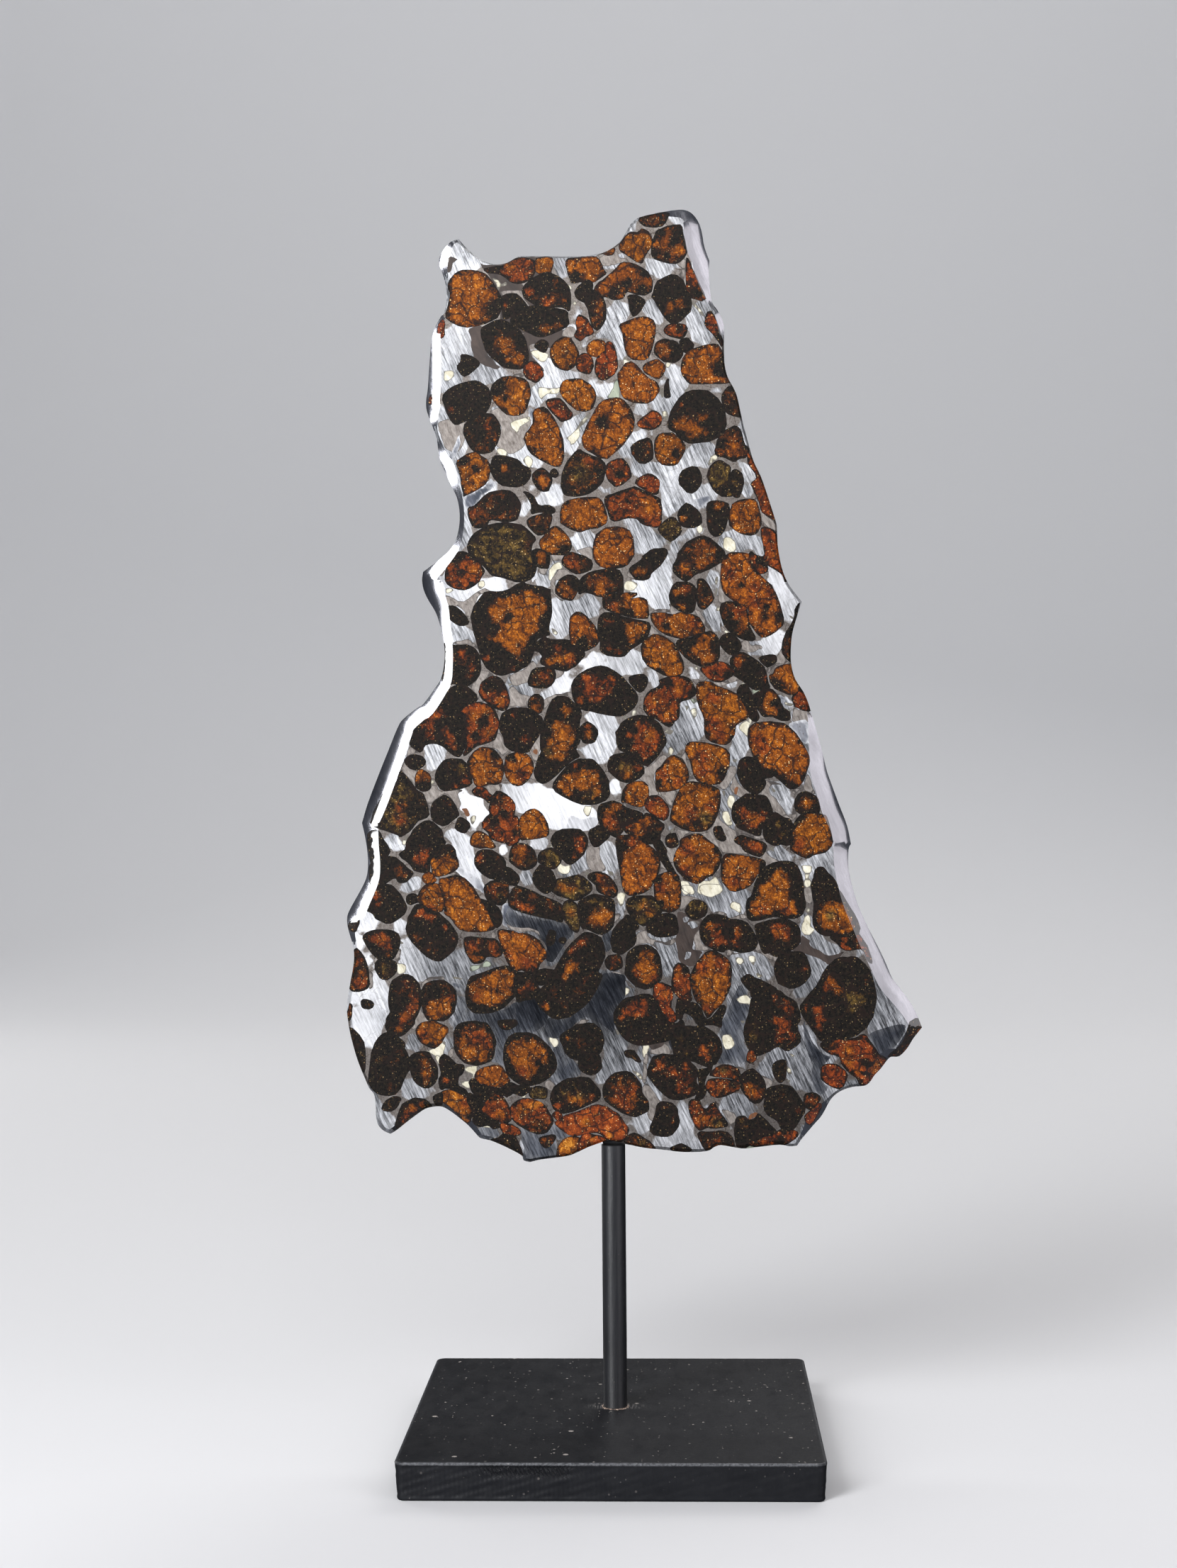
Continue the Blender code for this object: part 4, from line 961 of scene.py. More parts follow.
R 944,1368 952,1360 962,1364 967,1378 968,1398 969,1412 960,1416 943,1398 | a 950,1375,6 k 962,1370,5
K 950,1410 960,1416 978,1417 992,1440 1012,1420 1018,1425 1012,1440 1010,1450 1000,1447 978,1447 972,1437
  960,1430 955,1440 948,1435
K 960,1449 975,1450 985,1448 1008,1465 1012,1485 1003,1502 990,1505 965,1497 955,1500 945,1490 942,1462
  | o 962,1487,7 o 955,1465,6 r 988,1487,7 r 985,1478,4 b 1000,1480,9 r 992,1497,5
K 1086,1365 1098,1346 1122,1344 1131,1350 1137,1370 1133,1382 1115,1395 1092,1388 | r 1130,1368,4
K 1043,1460 1050,1430 1058,1405 1090,1398 1100,1405 1117,1415 1122,1438 1118,1448 1122,1470 1105,1483
  1095,1478 1085,1480 1065,1490 1053,1485
  | r 1087,1410,8 r 1097,1417,9 r 1108,1427,8 r 1092,1440,9 r 1105,1445,8 r 1100,1460,12 r 1090,1468,8
  r 1112,1462,7 o 1057,1450,8 o 1058,1465,8 r 1050,1478,5
R 1049,1484 1055,1483 1060,1489 1059,1496 1053,1500 1047,1497 | a 1054,1492,4
D 1040,1385 1048,1376 1058,1380 1085,1393 1088,1398 1078,1400 1055,1408 1052,1400
K 1138,1250 1142,1240 1143,1230 1150,1225 1158,1228 1172,1245 1180,1262 1198,1290 1205,1318 1165,1322
  1150,1318 1141,1305 1141,1275
  | A 1147,1290 1158,1272 1178,1276 1195,1297 1200,1308 1195,1317 1183,1319 1157,1314 1150,1305
  | o 1165,1292,6
R 1165,1322 1195,1322 1205,1318 1220,1345 1222,1360 1215,1352 1208,1340 1185,1342 1172,1330
  | k 1175,1328,6 k 1195,1332,7
K 1145,1392 1160,1365 1178,1352 1190,1352 1202,1352 1218,1368 1228,1395 1227,1425 1215,1450 1195,1463
  1165,1467 1150,1468 1130,1440 1123,1420
  | a 1165,1385,8 r 1158,1393,6 a 1178,1398,8 o 1190,1408,11 o 1200,1415,12 o 1212,1410,9 o 1195,1425,8
  r 1130,1420,6 r 1146,1425,8 r 1150,1440,9 r 1146,1455,7 r 1215,1388,4
R 1152,1478 1157,1470 1198,1465 1210,1460 1218,1465 1232,1487 1240,1492 1243,1500 1220,1528 1206,1530
  1200,1520 1182,1505 1177,1492 1160,1485
  | a 1190,1480,8 a 1190,1500,7 b 1165,1475,8 a 1203,1512,5 a 1230,1500,7 k 1214,1500,6 a 1225,1512,5
  b 1218,1518,5
B 1245,1492 1265,1472 1276,1443 1290,1438 1303,1450 1296,1460 1272,1487
R 995,1518 1013,1503 1035,1510 1037,1527 1025,1522 | k 1033,1515,5 o 1015,1510,5
R 990,1530 998,1523 1025,1524 1037,1530 1037,1538 1005,1550 991,1538 | b 1028,1530,8 b 1012,1540,7
K 1039,1518 1055,1509 1072,1525 1072,1548 1058,1558 1040,1538
  | A 1043,1530 1050,1527 1070,1540 1062,1553 1053,1555
  | r 1065,1545,5
K 1074,1540 1085,1533 1100,1531 1112,1536 1126,1556 1128,1570 1115,1590 1105,1597 1095,1592 1090,1582
  1072,1567
  | r 1121,1568,6 b 1100,1545,8
D 1083,1508 1088,1499 1098,1496 1103,1503 1100,1524 1090,1526
K 912,1497 920,1490 950,1490 972,1503 978,1512 976,1525 980,1537 972,1547 945,1553 925,1540 908,1518
  | r 925,1505,10 r 915,1510,6 r 940,1512,8 r 960,1510,9 r 965,1525,9 r 955,1535,9 r 950,1520,7 r 965,1543,6
  b 930,1495,6
K 978,1512 990,1508 1000,1505 988,1527 990,1540 985,1550 975,1552 980,1537
R 965,1558 970,1552 980,1553 983,1562 990,1565 1000,1557 1005,1565 1018,1582 1019,1590 1000,1593 990,1592
  982,1596 975,1590 966,1570
  | a 985,1580,8 o 1005,1584,9 a 977,1560,5
B 978,1600 990,1598 1020,1598 1030,1617 1008,1618 990,1624 | r 1005,1607,7 k 1020,1610,7 k 995,1602,4
K 1032,1580 1042,1575 1050,1580 1058,1578 1065,1572 1080,1588 1088,1596 1082,1603 1055,1614 1045,1620
  1035,1619 1030,1605
  | o 1040,1585,6 r 1047,1578,4
R 1050,1612 1080,1603 1100,1593 1118,1597 1115,1607 1098,1617 1085,1615 1058,1619
  | k 1095,1609,5 b 1062,1614,6 k 1100,1597,4
B 1130,1543 1146,1544 1150,1552 1140,1566 1127,1560 | r 1135,1550,5
R 1142,1563 1150,1556 1152,1563 1137,1588 1128,1576
R 1155,1503 1173,1502 1188,1516 1177,1537 1152,1522
K 945,1618 955,1615 970,1623 960,1627 940,1624
D 484,1453 505,1473 506,1512 502,1515 497,1500 | r 503,1468,4
K 512,1520 521,1475 538,1460 560,1470 564,1482 573,1508 567,1517 550,1547 520,1543
  | b 555,1488,10 b 549,1501,9 o 527,1497,4 b 545,1535,9
K 569,1500 575,1490 592,1486 600,1491 610,1510 607,1530 592,1538 576,1526
  | A 585,1495 593,1492 605,1510 603,1520 597,1525 597,1533 592,1536 592,1525 586,1515
  | b 577,1515,7
D 530,1567 543,1552 556,1551 557,1558 545,1571
K 556,1568 572,1554 592,1554 603,1567 590,1572 553,1597 | a 576,1567,6 r 568,1575,6 r 560,1584,5 r 585,1563,5
A 618,1541 640,1543 650,1550 660,1570 652,1588 628,1565 613,1555 | k 655,1578,4 r 648,1560,6
D 604,1550 617,1545 617,1560 612,1563 606,1560
K 612,1500 620,1490 637,1503 648,1505 645,1517 640,1523 640,1535 650,1540 655,1550 625,1538 615,1540 612,1530
  615,1515
  | r 622,1527,5
B 633,1460 645,1445 672,1444 683,1450 693,1472 688,1495 680,1502 657,1505 637,1490
  | a 655,1486,12 a 672,1488,11 r 665,1466,12 a 648,1475,7 r 681,1474,8
A 663,1523 668,1512 690,1505 702,1509 712,1527 705,1535 695,1536 672,1532
K 655,1530 663,1525 672,1533 700,1538 713,1530 718,1540 712,1548 700,1548 680,1556 663,1548
R 673,1565 678,1555 688,1548 698,1547 705,1553 716,1578 703,1588 675,1572 | a 700,1576,7 k 690,1552,4
K 656,1545 676,1558 672,1568 680,1577 700,1590 690,1595 680,1590 668,1592 660,1585 660,1570 652,1555
K 685,1612 697,1607 715,1597 731,1634 708,1620 | o 706,1615,5
K 695,1443 720,1441 722,1448 712,1454 702,1453 | r 708,1449,4
K 707,1472 722,1460 748,1462 775,1488 778,1510 762,1527 735,1533 712,1522 704,1497
  | A 711,1472 722,1464 745,1465 765,1485 769,1497 765,1505 755,1508 745,1522 733,1527 723,1520 720,1508
  712,1498 708,1485
  | r 730,1515,8 k 738,1468,4 b 717,1488,4 k 752,1503,4
K 812,1493 832,1487 839,1490 843,1508 828,1519 811,1510
K 771,1560 775,1537 795,1524 820,1522 830,1528 841,1547 830,1558 788,1573
  | o 790,1545,9 a 800,1552,8 o 815,1548,8 o 805,1535,6 a 812,1556,6 r 780,1562,8 r 828,1550,5
B 846,1533 862,1515 885,1515 898,1532 900,1545 908,1555 909,1565 903,1572 882,1576 848,1555
  | r 870,1550,12 r 885,1540,9 k 897,1562,7 r 877,1566,7 k 852,1545,5
K 911,1598 918,1575 920,1562 930,1555 942,1558 949,1567 951,1590 935,1605 | b 928,1562,7 r 944,1580,4
F 777,1585 797,1574 828,1563 843,1561 866,1573 875,1586 881,1597 871,1612 852,1610 836,1599 815,1603 800,1604
  788,1597
  | y 855,1602,5 r 805,1590,10 r 790,1590,8 a 821,1586,6 y 822,1585,2 r 840,1573,8 y 833,1575,2
A 779,1633 782,1617 797,1606 812,1607 811,1620 803,1629 788,1634 | y 795,1618,10
F 808,1626 813,1606 823,1602 838,1604 847,1608 848,1614 835,1618 820,1622
  | k 831,1604,4 b 826,1615,5 y 830,1607,3
B 888,1600 910,1612 918,1623 905,1623 878,1614 875,1608 | o 900,1615,5
R 713,1565 732,1552 757,1558 772,1578 773,1588 760,1602 738,1597 718,1583
  | y 747,1561,8 a 730,1568,10 y 757,1558,4 b 752,1590,12
O 740,1540 750,1535 762,1537 766,1546 760,1552 742,1550
B 755,1608 772,1603 778,1608 765,1622 758,1618
R 700,1588 722,1592 728,1600 722,1605 703,1600
K 705,1533 715,1530 725,1533 740,1535 738,1545 728,1548 715,1545 708,1550 703,1543
R 773,1575 778,1570 786,1573 787,1580 780,1583
"""

# The outline and the lines inside it along which the rim bends
stretches = []
for number, stretch in enumerate(OUTLINE):
    corner = OUTLINE[(number + 1) % len(OUTLINE)][0]
    stretches.append(smooth_stretch(np.array(stretch + [corner], dtype=float), OUTLINE_STEPS))
outline_and_widths = np.vstack(stretches) * (1, -1, 1)
outline, rim_widths = outline_and_widths[:, :2], outline_and_widths[:, 2]
RIM_BENDS_AT = (1.0, 0.62, 0.28)
loops = [outline] + [inset_loop(outline, rim_widths, share) for share in RIM_BENDS_AT]
IRON_LOOPS = len(loops)
PATCH_ROUGHNESS = 1.6
CRYSTAL_ROUGHNESS = 1.1
CRYSTAL_GROWTH = 0.8


def rough_loop(loop, reach):
    """The loop with each point moved off by up to the reach in pixels, smoothly along it."""
    seed = len(loops)
    return loop + reach * np.stack([wobble(2 * loop, seed), wobble(2 * loop, seed + 1000)], axis=1)


def lines_of(listing):
    """The lines of a list, each joined with the indented ones below it."""
    return listing.replace("\n  ", " ").strip().split("\n")


patch_letters = []
for line in lines_of(PATCHES):
    letter, *corners = line.split()
    patch_letters.append(letter)
    loops.append(rough_loop(smooth_loop(read_points(corners), PATCH_STEPS), PATCH_ROUGHNESS))
FIRST_CRYSTAL = len(loops)
crystals = []
for line in lines_of(CRYSTALS):
    shape, *parts = line.split("|")
    letter, *corners = shape.split()
    loop = smooth_loop(read_points(corners), CRYSTAL_STEPS)
    ahead = np.roll(loop, -1, 0) - np.roll(loop, 1, 0)
    outwards = np.stack([ahead[:, 1], -ahead[:, 0]], axis=1) * turns_left(loop)
    outwards /= np.linalg.norm(outwards, axis=1, keepdims=True) + 1e-9
    loops.append(rough_loop(loop + CRYSTAL_GROWTH * outwards, CRYSTAL_ROUGHNESS))
    crystals.append((letter, parts))

# A fine jittered grid of points in the crystals carries their changing colour, and a coarser one in the
# iron the widths of the gaps
SEED = 11
GRID_CLEARANCE = 1.4
GRID_JITTER = 0.25
MERGE_PIXELS = 2e-3
draw = np.random.default_rng(SEED)


def jittered_grid(spacing):
    """Points on a square grid over the slice, each moved a little."""
    columns, rows = (np.arange(values.min(), values.max(), spacing) for values in outline.T)
    places = np.stack(np.meshgrid(columns, rows), axis=-1).reshape(-1, 2)
    return places + draw.uniform(-GRID_JITTER, GRID_JITTER, places.shape) * spacing


grid = jittered_grid(GRAIN_PIXELS)
iron_grid = jittered_grid(IRON_GRAIN_PIXELS)
in_crystal = np.zeros(len(grid), dtype=bool)
in_iron = np.ones(len(iron_grid), dtype=bool)
for loop in loops[FIRST_CRYSTAL:]:
    near = near_loop(grid, loop)
    inside = near[is_inside(grid[near], loop)]
    in_crystal[inside[nearest_on_path(grid[inside], loop)[0] > GRID_CLEARANCE]] = True
    near = near_loop(iron_grid, loop)
    in_iron[near[is_inside(iron_grid[near], loop)]] = False
iron_grid = iron_grid[in_iron]
iron_grid = iron_grid[is_inside(iron_grid, outline)]
points_in = np.vstack(loops + [grid[in_crystal], iron_grid])
loop_faces = []
start = 0
for loop in loops:
    order = list(range(start, start + len(loop)))
    loop_faces.append(order if turns_left(loop) > 0 else order[::-1])
    start += len(loop)
made = delaunay_2d_cdt(points_in.tolist(), [], loop_faces, 1, MERGE_PIXELS)
flat_points = np.array([tuple(point) for point in made[0]])
triangles = np.array(made[2])
centres = flat_points[triangles].mean(1)
region = np.full(len(triangles), -1)
for number, loop in enumerate(loops):
    near = near_loop(centres, loop)
    region[near[is_inside(centres[near], loop)]] = number
    if number == 0:
        kept = region == 0
triangles = triangles[kept]
region = region[kept]
used, triangles = np.unique(triangles, return_inverse=True)
triangles = triangles.reshape(-1, 3)
flat_points = flat_points[used]
point_count = len(flat_points)

# The width of the gap between crystals at each point: its distances to the nearest two, added up
FARTHEST_GAP = 30.0
nearest = np.full(point_count, FARTHEST_GAP)
second = np.full(point_count, FARTHEST_GAP)
for loop in loops[FIRST_CRYSTAL:]:
    near = near_loop(flat_points, loop, FARTHEST_GAP)
    apart = nearest_on_path(flat_points[near], loop)[0]
    apart[is_inside(flat_points[near], loop)] = 0
    second[near] = np.minimum(second[near], np.maximum(nearest[near], apart))
    nearest[near] = np.minimum(nearest[near], apart)
gap_mm = (nearest + second) * METRES_PER_PIXEL * 1000

# Painted highlight and painted dark reflection on the iron, with its roughness shifting too. The colour is
# painted lighter towards white from 0 to 1, or darker from 0 to -1. These are soft spots of a column, a row,
# a radius and a strength.
PAINTED_SHEEN_SPOTS = """
505,1330,50,0.9 500,1400,45,0.8 505,1470,40,0.7 560,1300,50,0.5 580,1370,60,0.3 655,1120,60,0.9
690,1190,60,0.9 770,1135,75,1.0 830,1150,60,0.7 880,1110,50,0.4 640,1250,40,0.5 660,820,55,0.6
720,850,60,0.6 850,930,60,0.7 790,960,55,0.6 900,830,60,0.3 1090,830,50,0.8 1100,900,40,0.8 640,480,45,0.4
720,460,50,-0.2 860,420,70,-0.1 930,500,60,0.2 820,600,60,0.1 760,700,60,0.3 700,760,50,0.4 960,690,50,0.1
880,1010,50,0.4 960,950,50,0.2 860,1600,50,0.5 930,1600,50,0.5 620,1600,50,0.3 760,1340,90,-0.8
700,1420,80,-0.6 850,1400,80,-0.8 930,1450,80,-0.7 640,1330,60,-0.4 800,1470,70,-0.6 1000,1380,80,-0.5
1180,1430,60,-0.3 980,1170,60,-0.3 650,345,30,-0.6 700,560,40,-0.3
"""
PAINTED_SHEEN_FALL = 1.5
painted_sheen = np.zeros(point_count)
for spot in PAINTED_SHEEN_SPOTS.split():
    column, row, radius, strength = read_numbers(spot)
    away = np.linalg.norm(flat_points - (column, -row), axis=1) / radius
    painted_sheen += strength * np.exp(-PAINTED_SHEEN_FALL * away ** 2)
painted_sheen = np.clip(painted_sheen, -1, 1)

# The photograph's pixels turned into metres
right = (flat_points[:, 0] - ROD_COLUMN) * METRES_PER_PIXEL
up = (LOWEST_ROW + flat_points[:, 1]) * METRES_PER_PIXEL
slice_x = right * math.cos(CAMERA_ROLL) + up * math.sin(CAMERA_ROLL)
slice_z = SLICE_BASE_HEIGHT + up * math.cos(CAMERA_ROLL) - right * math.sin(CAMERA_ROLL)
RIM_SEARCH_PIXELS = 60


def blend_along(values, segment, share):
    """The value on each segment of the outline, at a share of the way from its start to its end."""
    share = share.reshape(-1, *[1] * (values.ndim - 1))
    return values[segment] * (1 - share) + np.roll(values, -1, 0)[segment] * share


def nearest_rim(points):
    """The nearest place on the outline, worked out only for points within reach of the rim."""
    distance = np.full(len(points), 999.0)
    nearest_segment = np.zeros(len(points), dtype=int)
    nearest_share = np.zeros(len(points))
    posts = outline[::6]
    reach = np.concatenate([np.linalg.norm(some[:, None] - posts[None], axis=2).min(1)
                            for some in in_blocks(points)])
    near = np.nonzero(reach < RIM_SEARCH_PIXELS)[0]
    distance[near], nearest_segment[near], nearest_share[near] = nearest_on_path(points[near], outline)
    return distance, nearest_segment, nearest_share


edge_distance, segment, share = nearest_rim(flat_points)
width_here = blend_along(rim_widths, segment, share)
along = np.roll(outline, -1, 0) - outline
outward = np.stack([-along[:, 1], along[:, 0]], axis=1) / np.linalg.norm(along, axis=1, keepdims=True)
outward = outward + np.roll(outward, 1, 0)
outward = 2 * outward + np.roll(outward, 1, 0) + np.roll(outward, -1, 0)
outward = blend_along(outward, segment, share)
outward /= np.linalg.norm(outward, axis=1, keepdims=True)

# The rim falls in a straight slope for its first two millimetres and then rounds over to the edge
rim_in = np.maximum(width_here - edge_distance, 0) * METRES_PER_PIXEL
first_slope = np.maximum(RIM_FIRST_SLOPE, RIM_DEPTH_LEAST / (width_here * METRES_PER_PIXEL))
past_first = np.maximum(rim_in - RIM_FIRST_WIDTH, 0)
rim_drop = first_slope * rim_in + RIM_ROUNDING * past_first ** 2
rim_slope = first_slope + 2 * RIM_ROUNDING * past_first
front_y = SLICE_FRONT_Y + rim_drop
back_fall = np.clip(1 - edge_distance * METRES_PER_PIXEL / BACK_RIM_WIDTH, 0, 1)
back_y = SLICE_FRONT_Y + SLICE_THICKNESS - BACK_RIM_DEPTH * back_fall
centre_distance, centre_segment, centre_share = nearest_rim(flat_points[triangles].mean(1))
on_flat = centre_distance > blend_along(rim_widths, centre_segment, centre_share)
front_points = np.stack([slice_x, front_y, slice_z], axis=1)
back_points = np.stack([slice_x, back_y, slice_z], axis=1)

# Colour fields at each corner of each triangle. warmth runs from black to bright amber, redness
# towards rust, olive towards green-brown. border is the distance to the edge of the crystal or patch
# in mm, and edge_share the same in parts of the dark band along a crystal's edge.
EDGE_DARK_MM = 0.15
EDGE_DARK_SHARE = 0.22
# F and Y are a painted glow: light shining through the crystals above the rod from behind, painted into their
# warmth
TONES = {"A": (0.74, 0.20, 0.0), "R": (0.60, 0.85, 0.0), "B": (0.40, 0.45, 0.1), "K": (0.12, 0.4, 0.2),
         "O": (0.50, 0.0, 0.9), "D": (0.24, 0.3, 0.5), "F": (0.85, 0.98, 0.0), "Y": (1.15, 0.10, 0.1)}
WARMTH_CHANGE = (-0.05, 0.05)
REDNESS_CHANGE = (-0.1, 0.15)
CORE_STRAY = 3
CORE_BLEND = 8
SPOT_REACH = 1.5
SPOT_BLEND = 1.1
SPOT_STRAY = 0.35


def towards(tone, letter, weight):
    """The tone moved towards a letter's, by a weight held between 0 and 1."""
    weight = np.clip(weight, 0, 1)[:, None]
    return tone * (1 - weight) + np.array(TONES[letter]) * weight


corner_points = flat_points[triangles].reshape(-1, 2)
corner_region = np.repeat(region, 3)
FIELD_NAMES = ("warmth", "redness", "olive", "border", "edge_share")
fields = np.zeros((len(corner_points), len(FIELD_NAMES)))
tones, border, edge_share = fields[:, :3], fields[:, 3], fields[:, 4]
by_region = np.argsort(corner_region, kind="stable")
region_starts = np.searchsorted(corner_region[by_region], np.arange(len(loops) + 1))
for number in range(IRON_LOOPS, len(loops)):
    here = by_region[region_starts[number]:region_starts[number + 1]]
    if len(here):
        border[here] = nearest_on_path(corner_points[here], loops[number])[0] * METRES_PER_PIXEL * 1000
for number, (letter, parts) in enumerate(crystals):
    here = by_region[region_starts[FIRST_CRYSTAL + number]:region_starts[FIRST_CRYSTAL + number + 1]]
    if len(here) == 0:
        continue
    at = corner_points[here]
    tone = np.tile(TONES[letter], (len(here), 1))
    tone[:, 0] += draw.uniform(*WARMTH_CHANGE)
    tone[:, 1] += draw.uniform(*REDNESS_CHANGE)
    stray = wobble(at, 100 + number)
    for part in parts:
        words = part.split()
        if words[0].isupper():
            core = smooth_loop(read_points(words[1:]), CRYSTAL_STEPS)
            depth_in = nearest_on_path(at, core)[0] * np.where(is_inside(at, core), 1, -1)
            tone = towards(tone, words[0], (depth_in + CORE_STRAY * stray) / CORE_BLEND + 0.5)
        else:
            for spot_letter, spot in zip(words[::2], words[1::2]):
                column, row, radius = read_numbers(spot)
                gap = np.linalg.norm(at - (column, -row), axis=1) * (1 + SPOT_STRAY * stray)
                weight = (SPOT_REACH * radius - gap) / (SPOT_BLEND * radius)
                tone = towards(tone, spot_letter.upper(), weight)
    tones[here] = tone
    edge_share[here] = border[here] / (EDGE_DARK_MM + EDGE_DARK_SHARE * border[here].max())

# The narrow wall joins the front's border to the back's, and takes its colours from the front
corner_from = triangles.ravel()
corner_to = np.roll(triangles, -1, 1).ravel()
key = corner_from * point_count + corner_to
back_key = corner_to * point_count + corner_from
wall = np.nonzero(~np.isin(key, back_key))[0]
wall_next = wall - wall % 3 + (wall % 3 + 1) % 3
wall_a = corner_from[wall]
wall_b = corner_to[wall]
wall_faces = np.concatenate([np.stack([wall_b, wall_a, wall_a + point_count], axis=1),
                             np.stack([wall_b, wall_a + point_count, wall_b + point_count], axis=1)])
wall_corners = np.concatenate([np.stack([wall_next, wall, wall], axis=1),
                               np.stack([wall_next, wall, wall_next], axis=1)])
front_corners = np.arange(len(corner_points)).reshape(-1, 3)
all_faces = np.concatenate([triangles, triangles[:, ::-1] + point_count, wall_faces])
all_corners = np.concatenate([front_corners, front_corners[:, ::-1], wall_corners])
all_regions = np.concatenate([region, region, region[wall // 3], region[wall // 3]])
FLAT, RIM, BACK, WALL = range(4)
flat_rim_wall = np.concatenate([np.where(on_flat, FLAT, RIM), np.full(len(triangles), BACK),
                                np.full(len(wall_faces), WALL)])

# The crystals on the back are the same ones cut 4 mm deeper, so each is lighter or darker there
BACK_CHANGE = (-0.25, 0.2)
BACK_WARMTH_RANGE = (0.05, 0.9)
slice_fields = fields[all_corners.ravel()]
back_corner = np.repeat(flat_rim_wall == BACK, 3)
change = draw.uniform(*BACK_CHANGE, len(loops))
back_warmth = np.clip(slice_fields[:, 0] + np.repeat(change[all_regions], 3), *BACK_WARMTH_RANGE)
slice_fields[back_corner, 0] = back_warmth[back_corner]


def new_piece(name, mesh):
    """Puts a finished mesh in the scene as one piece of the object."""
    piece = show(name, mesh)
    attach(piece, "root")
    return piece


def carry(mesh, name, place, values):
    """Gives the mesh a value for each of its points or corners, for its material to read."""
    mesh.attributes.new(name, "FLOAT", place).data.foreach_set("value", values.astype(np.float32))


slice_mesh = mesh_from("meteorite_slice_visual", np.vstack([front_points, back_points]), all_faces)
for name, values in zip(FIELD_NAMES, slice_fields.T):
    carry(slice_mesh, name, "CORNER", values)
for name, values in (("gap_mm", gap_mm), ("painted_sheen", painted_sheen)):
    carry(slice_mesh, name, "POINT", np.tile(values, 2))

# Each corner's normal is the slope of the smooth rim there, and not the triangle's own
side_normals = np.zeros((4, point_count, 3))
side_normals[[FLAT, RIM], :, 1] = -1
side_normals[RIM, :, ::2] = outward * rim_slope[:, None]
side_normals[BACK, :, ::2] = outward * (back_fall > 0)[:, None] * BACK_RIM_DEPTH / BACK_RIM_WIDTH
side_normals[BACK, :, 1] = 1
side_normals[WALL, :, ::2] = outward
side_normals /= np.linalg.norm(side_normals, axis=2, keepdims=True)
corner_normals = side_normals[np.repeat(flat_rim_wall, 3), all_faces.ravel() % point_count]
slice_mesh.normals_split_custom_set(corner_normals.tolist())


def combine(material, operation, *values):
    """Values put together by one Math operation, from the first to the last."""
    result = values[0]
    for value in values[1:]:
        result = add_node(material, "ShaderNodeMath", {0: result, 1: value}, operation=operation).outputs[0]
    return result


def scaled(material, vector, factor):
    """A colour or a vector multiplied by a factor."""
    return add_node(material, "ShaderNodeVectorMath", {0: vector, 3: factor}, operation="SCALE").outputs[0]


def bump_on(material, height, strength, distance):
    """The surface's direction where a relief tilts it."""
    return add_node(material, "ShaderNodeBump",
                    {"Strength": strength, "Distance": distance, "Height": height}).outputs[0]


def place_on(material, scale=(1, 1, 1), lean=0.0):
    """Object coordinates in metres, turned about the slice's depth by a lean in degrees, then stretched."""
    place = add_node(material, "ShaderNodeTexCoord", {}).outputs["Object"]
    for change in ({"Rotation": (0, math.radians(lean), 0)}, {"Scale": scale}):
        place = add_node(material, "ShaderNodeMapping", {"Vector": place, **change}).outputs[0]
    return place


def noise_on(material, place, scale, detail=4.0, roughness=0.55, distortion=0.0):
    """A noise value from 0 to 1."""
    return add_node(material, "ShaderNodeTexNoise",
                    {"Vector": place, "Scale": scale, "Detail": detail, "Roughness": roughness,
                     "Distortion": distortion}).outputs["Fac"]


def bent_net(material, place, bend_scale, bend_reach, cell_scale):
    """The distance to a net of cells' edges, in cells. Noise bends the net by up to the reach in metres."""
    bend = add_node(material, "ShaderNodeTexNoise", {"Vector": place, "Scale": bend_scale}).outputs["Color"]
    bent_place = add_node(material, "ShaderNodeVectorMath", {0: place, 1: scaled(material, bend, bend_reach)},
                          operation="ADD").outputs[0]
    return add_node(material, "ShaderNodeTexVoronoi", {"Vector": bent_place, "Scale": cell_scale},
                    feature="DISTANCE_TO_EDGE").outputs["Distance"]


def colour_ramp(material, value, stops):
    """A colour for each value, by straight steps between the stops."""
    ramp = add_node(material, "ShaderNodeValToRGB", {"Fac": value})
    for number, (at, colour) in enumerate(stops):
        stop = ramp.color_ramp.elements[number] if number < 2 else ramp.color_ramp.elements.new(at)
        stop.position = at
        stop.color = (*colour, 1.0)
    return ramp.outputs["Color"]


def mix_colours(material, share, first_colour, second_colour):
    """Two colours mixed by the second one's share."""
    return add_node(material, "ShaderNodeMix", {0: share, 6: first_colour, 7: second_colour},
                    data_type="RGBA").outputs[2]


def field_on(material, name):
    """A value carried by the mesh."""
    return add_node(material, "ShaderNodeAttribute", {}, attribute_name=name).outputs["Fac"]


def specks_on(material, place, scale, radius, kept_share):
    """Round specks, one in some of the cells: 1 inside the radius, counted in cells."""
    cells = add_node(material, "ShaderNodeTexVoronoi", {"Vector": place, "Scale": scale})
    inside = range_of(material, cells.outputs["Distance"], 0.6 * radius, radius, 1.0, 0.0)
    lot = add_node(material, "ShaderNodeSeparateXYZ", {0: cells.outputs["Color"]}).outputs["X"]
    return combine(material, "MULTIPLY", inside, range_of(material, lot, 1 - kept_share, 1.02 - kept_share))


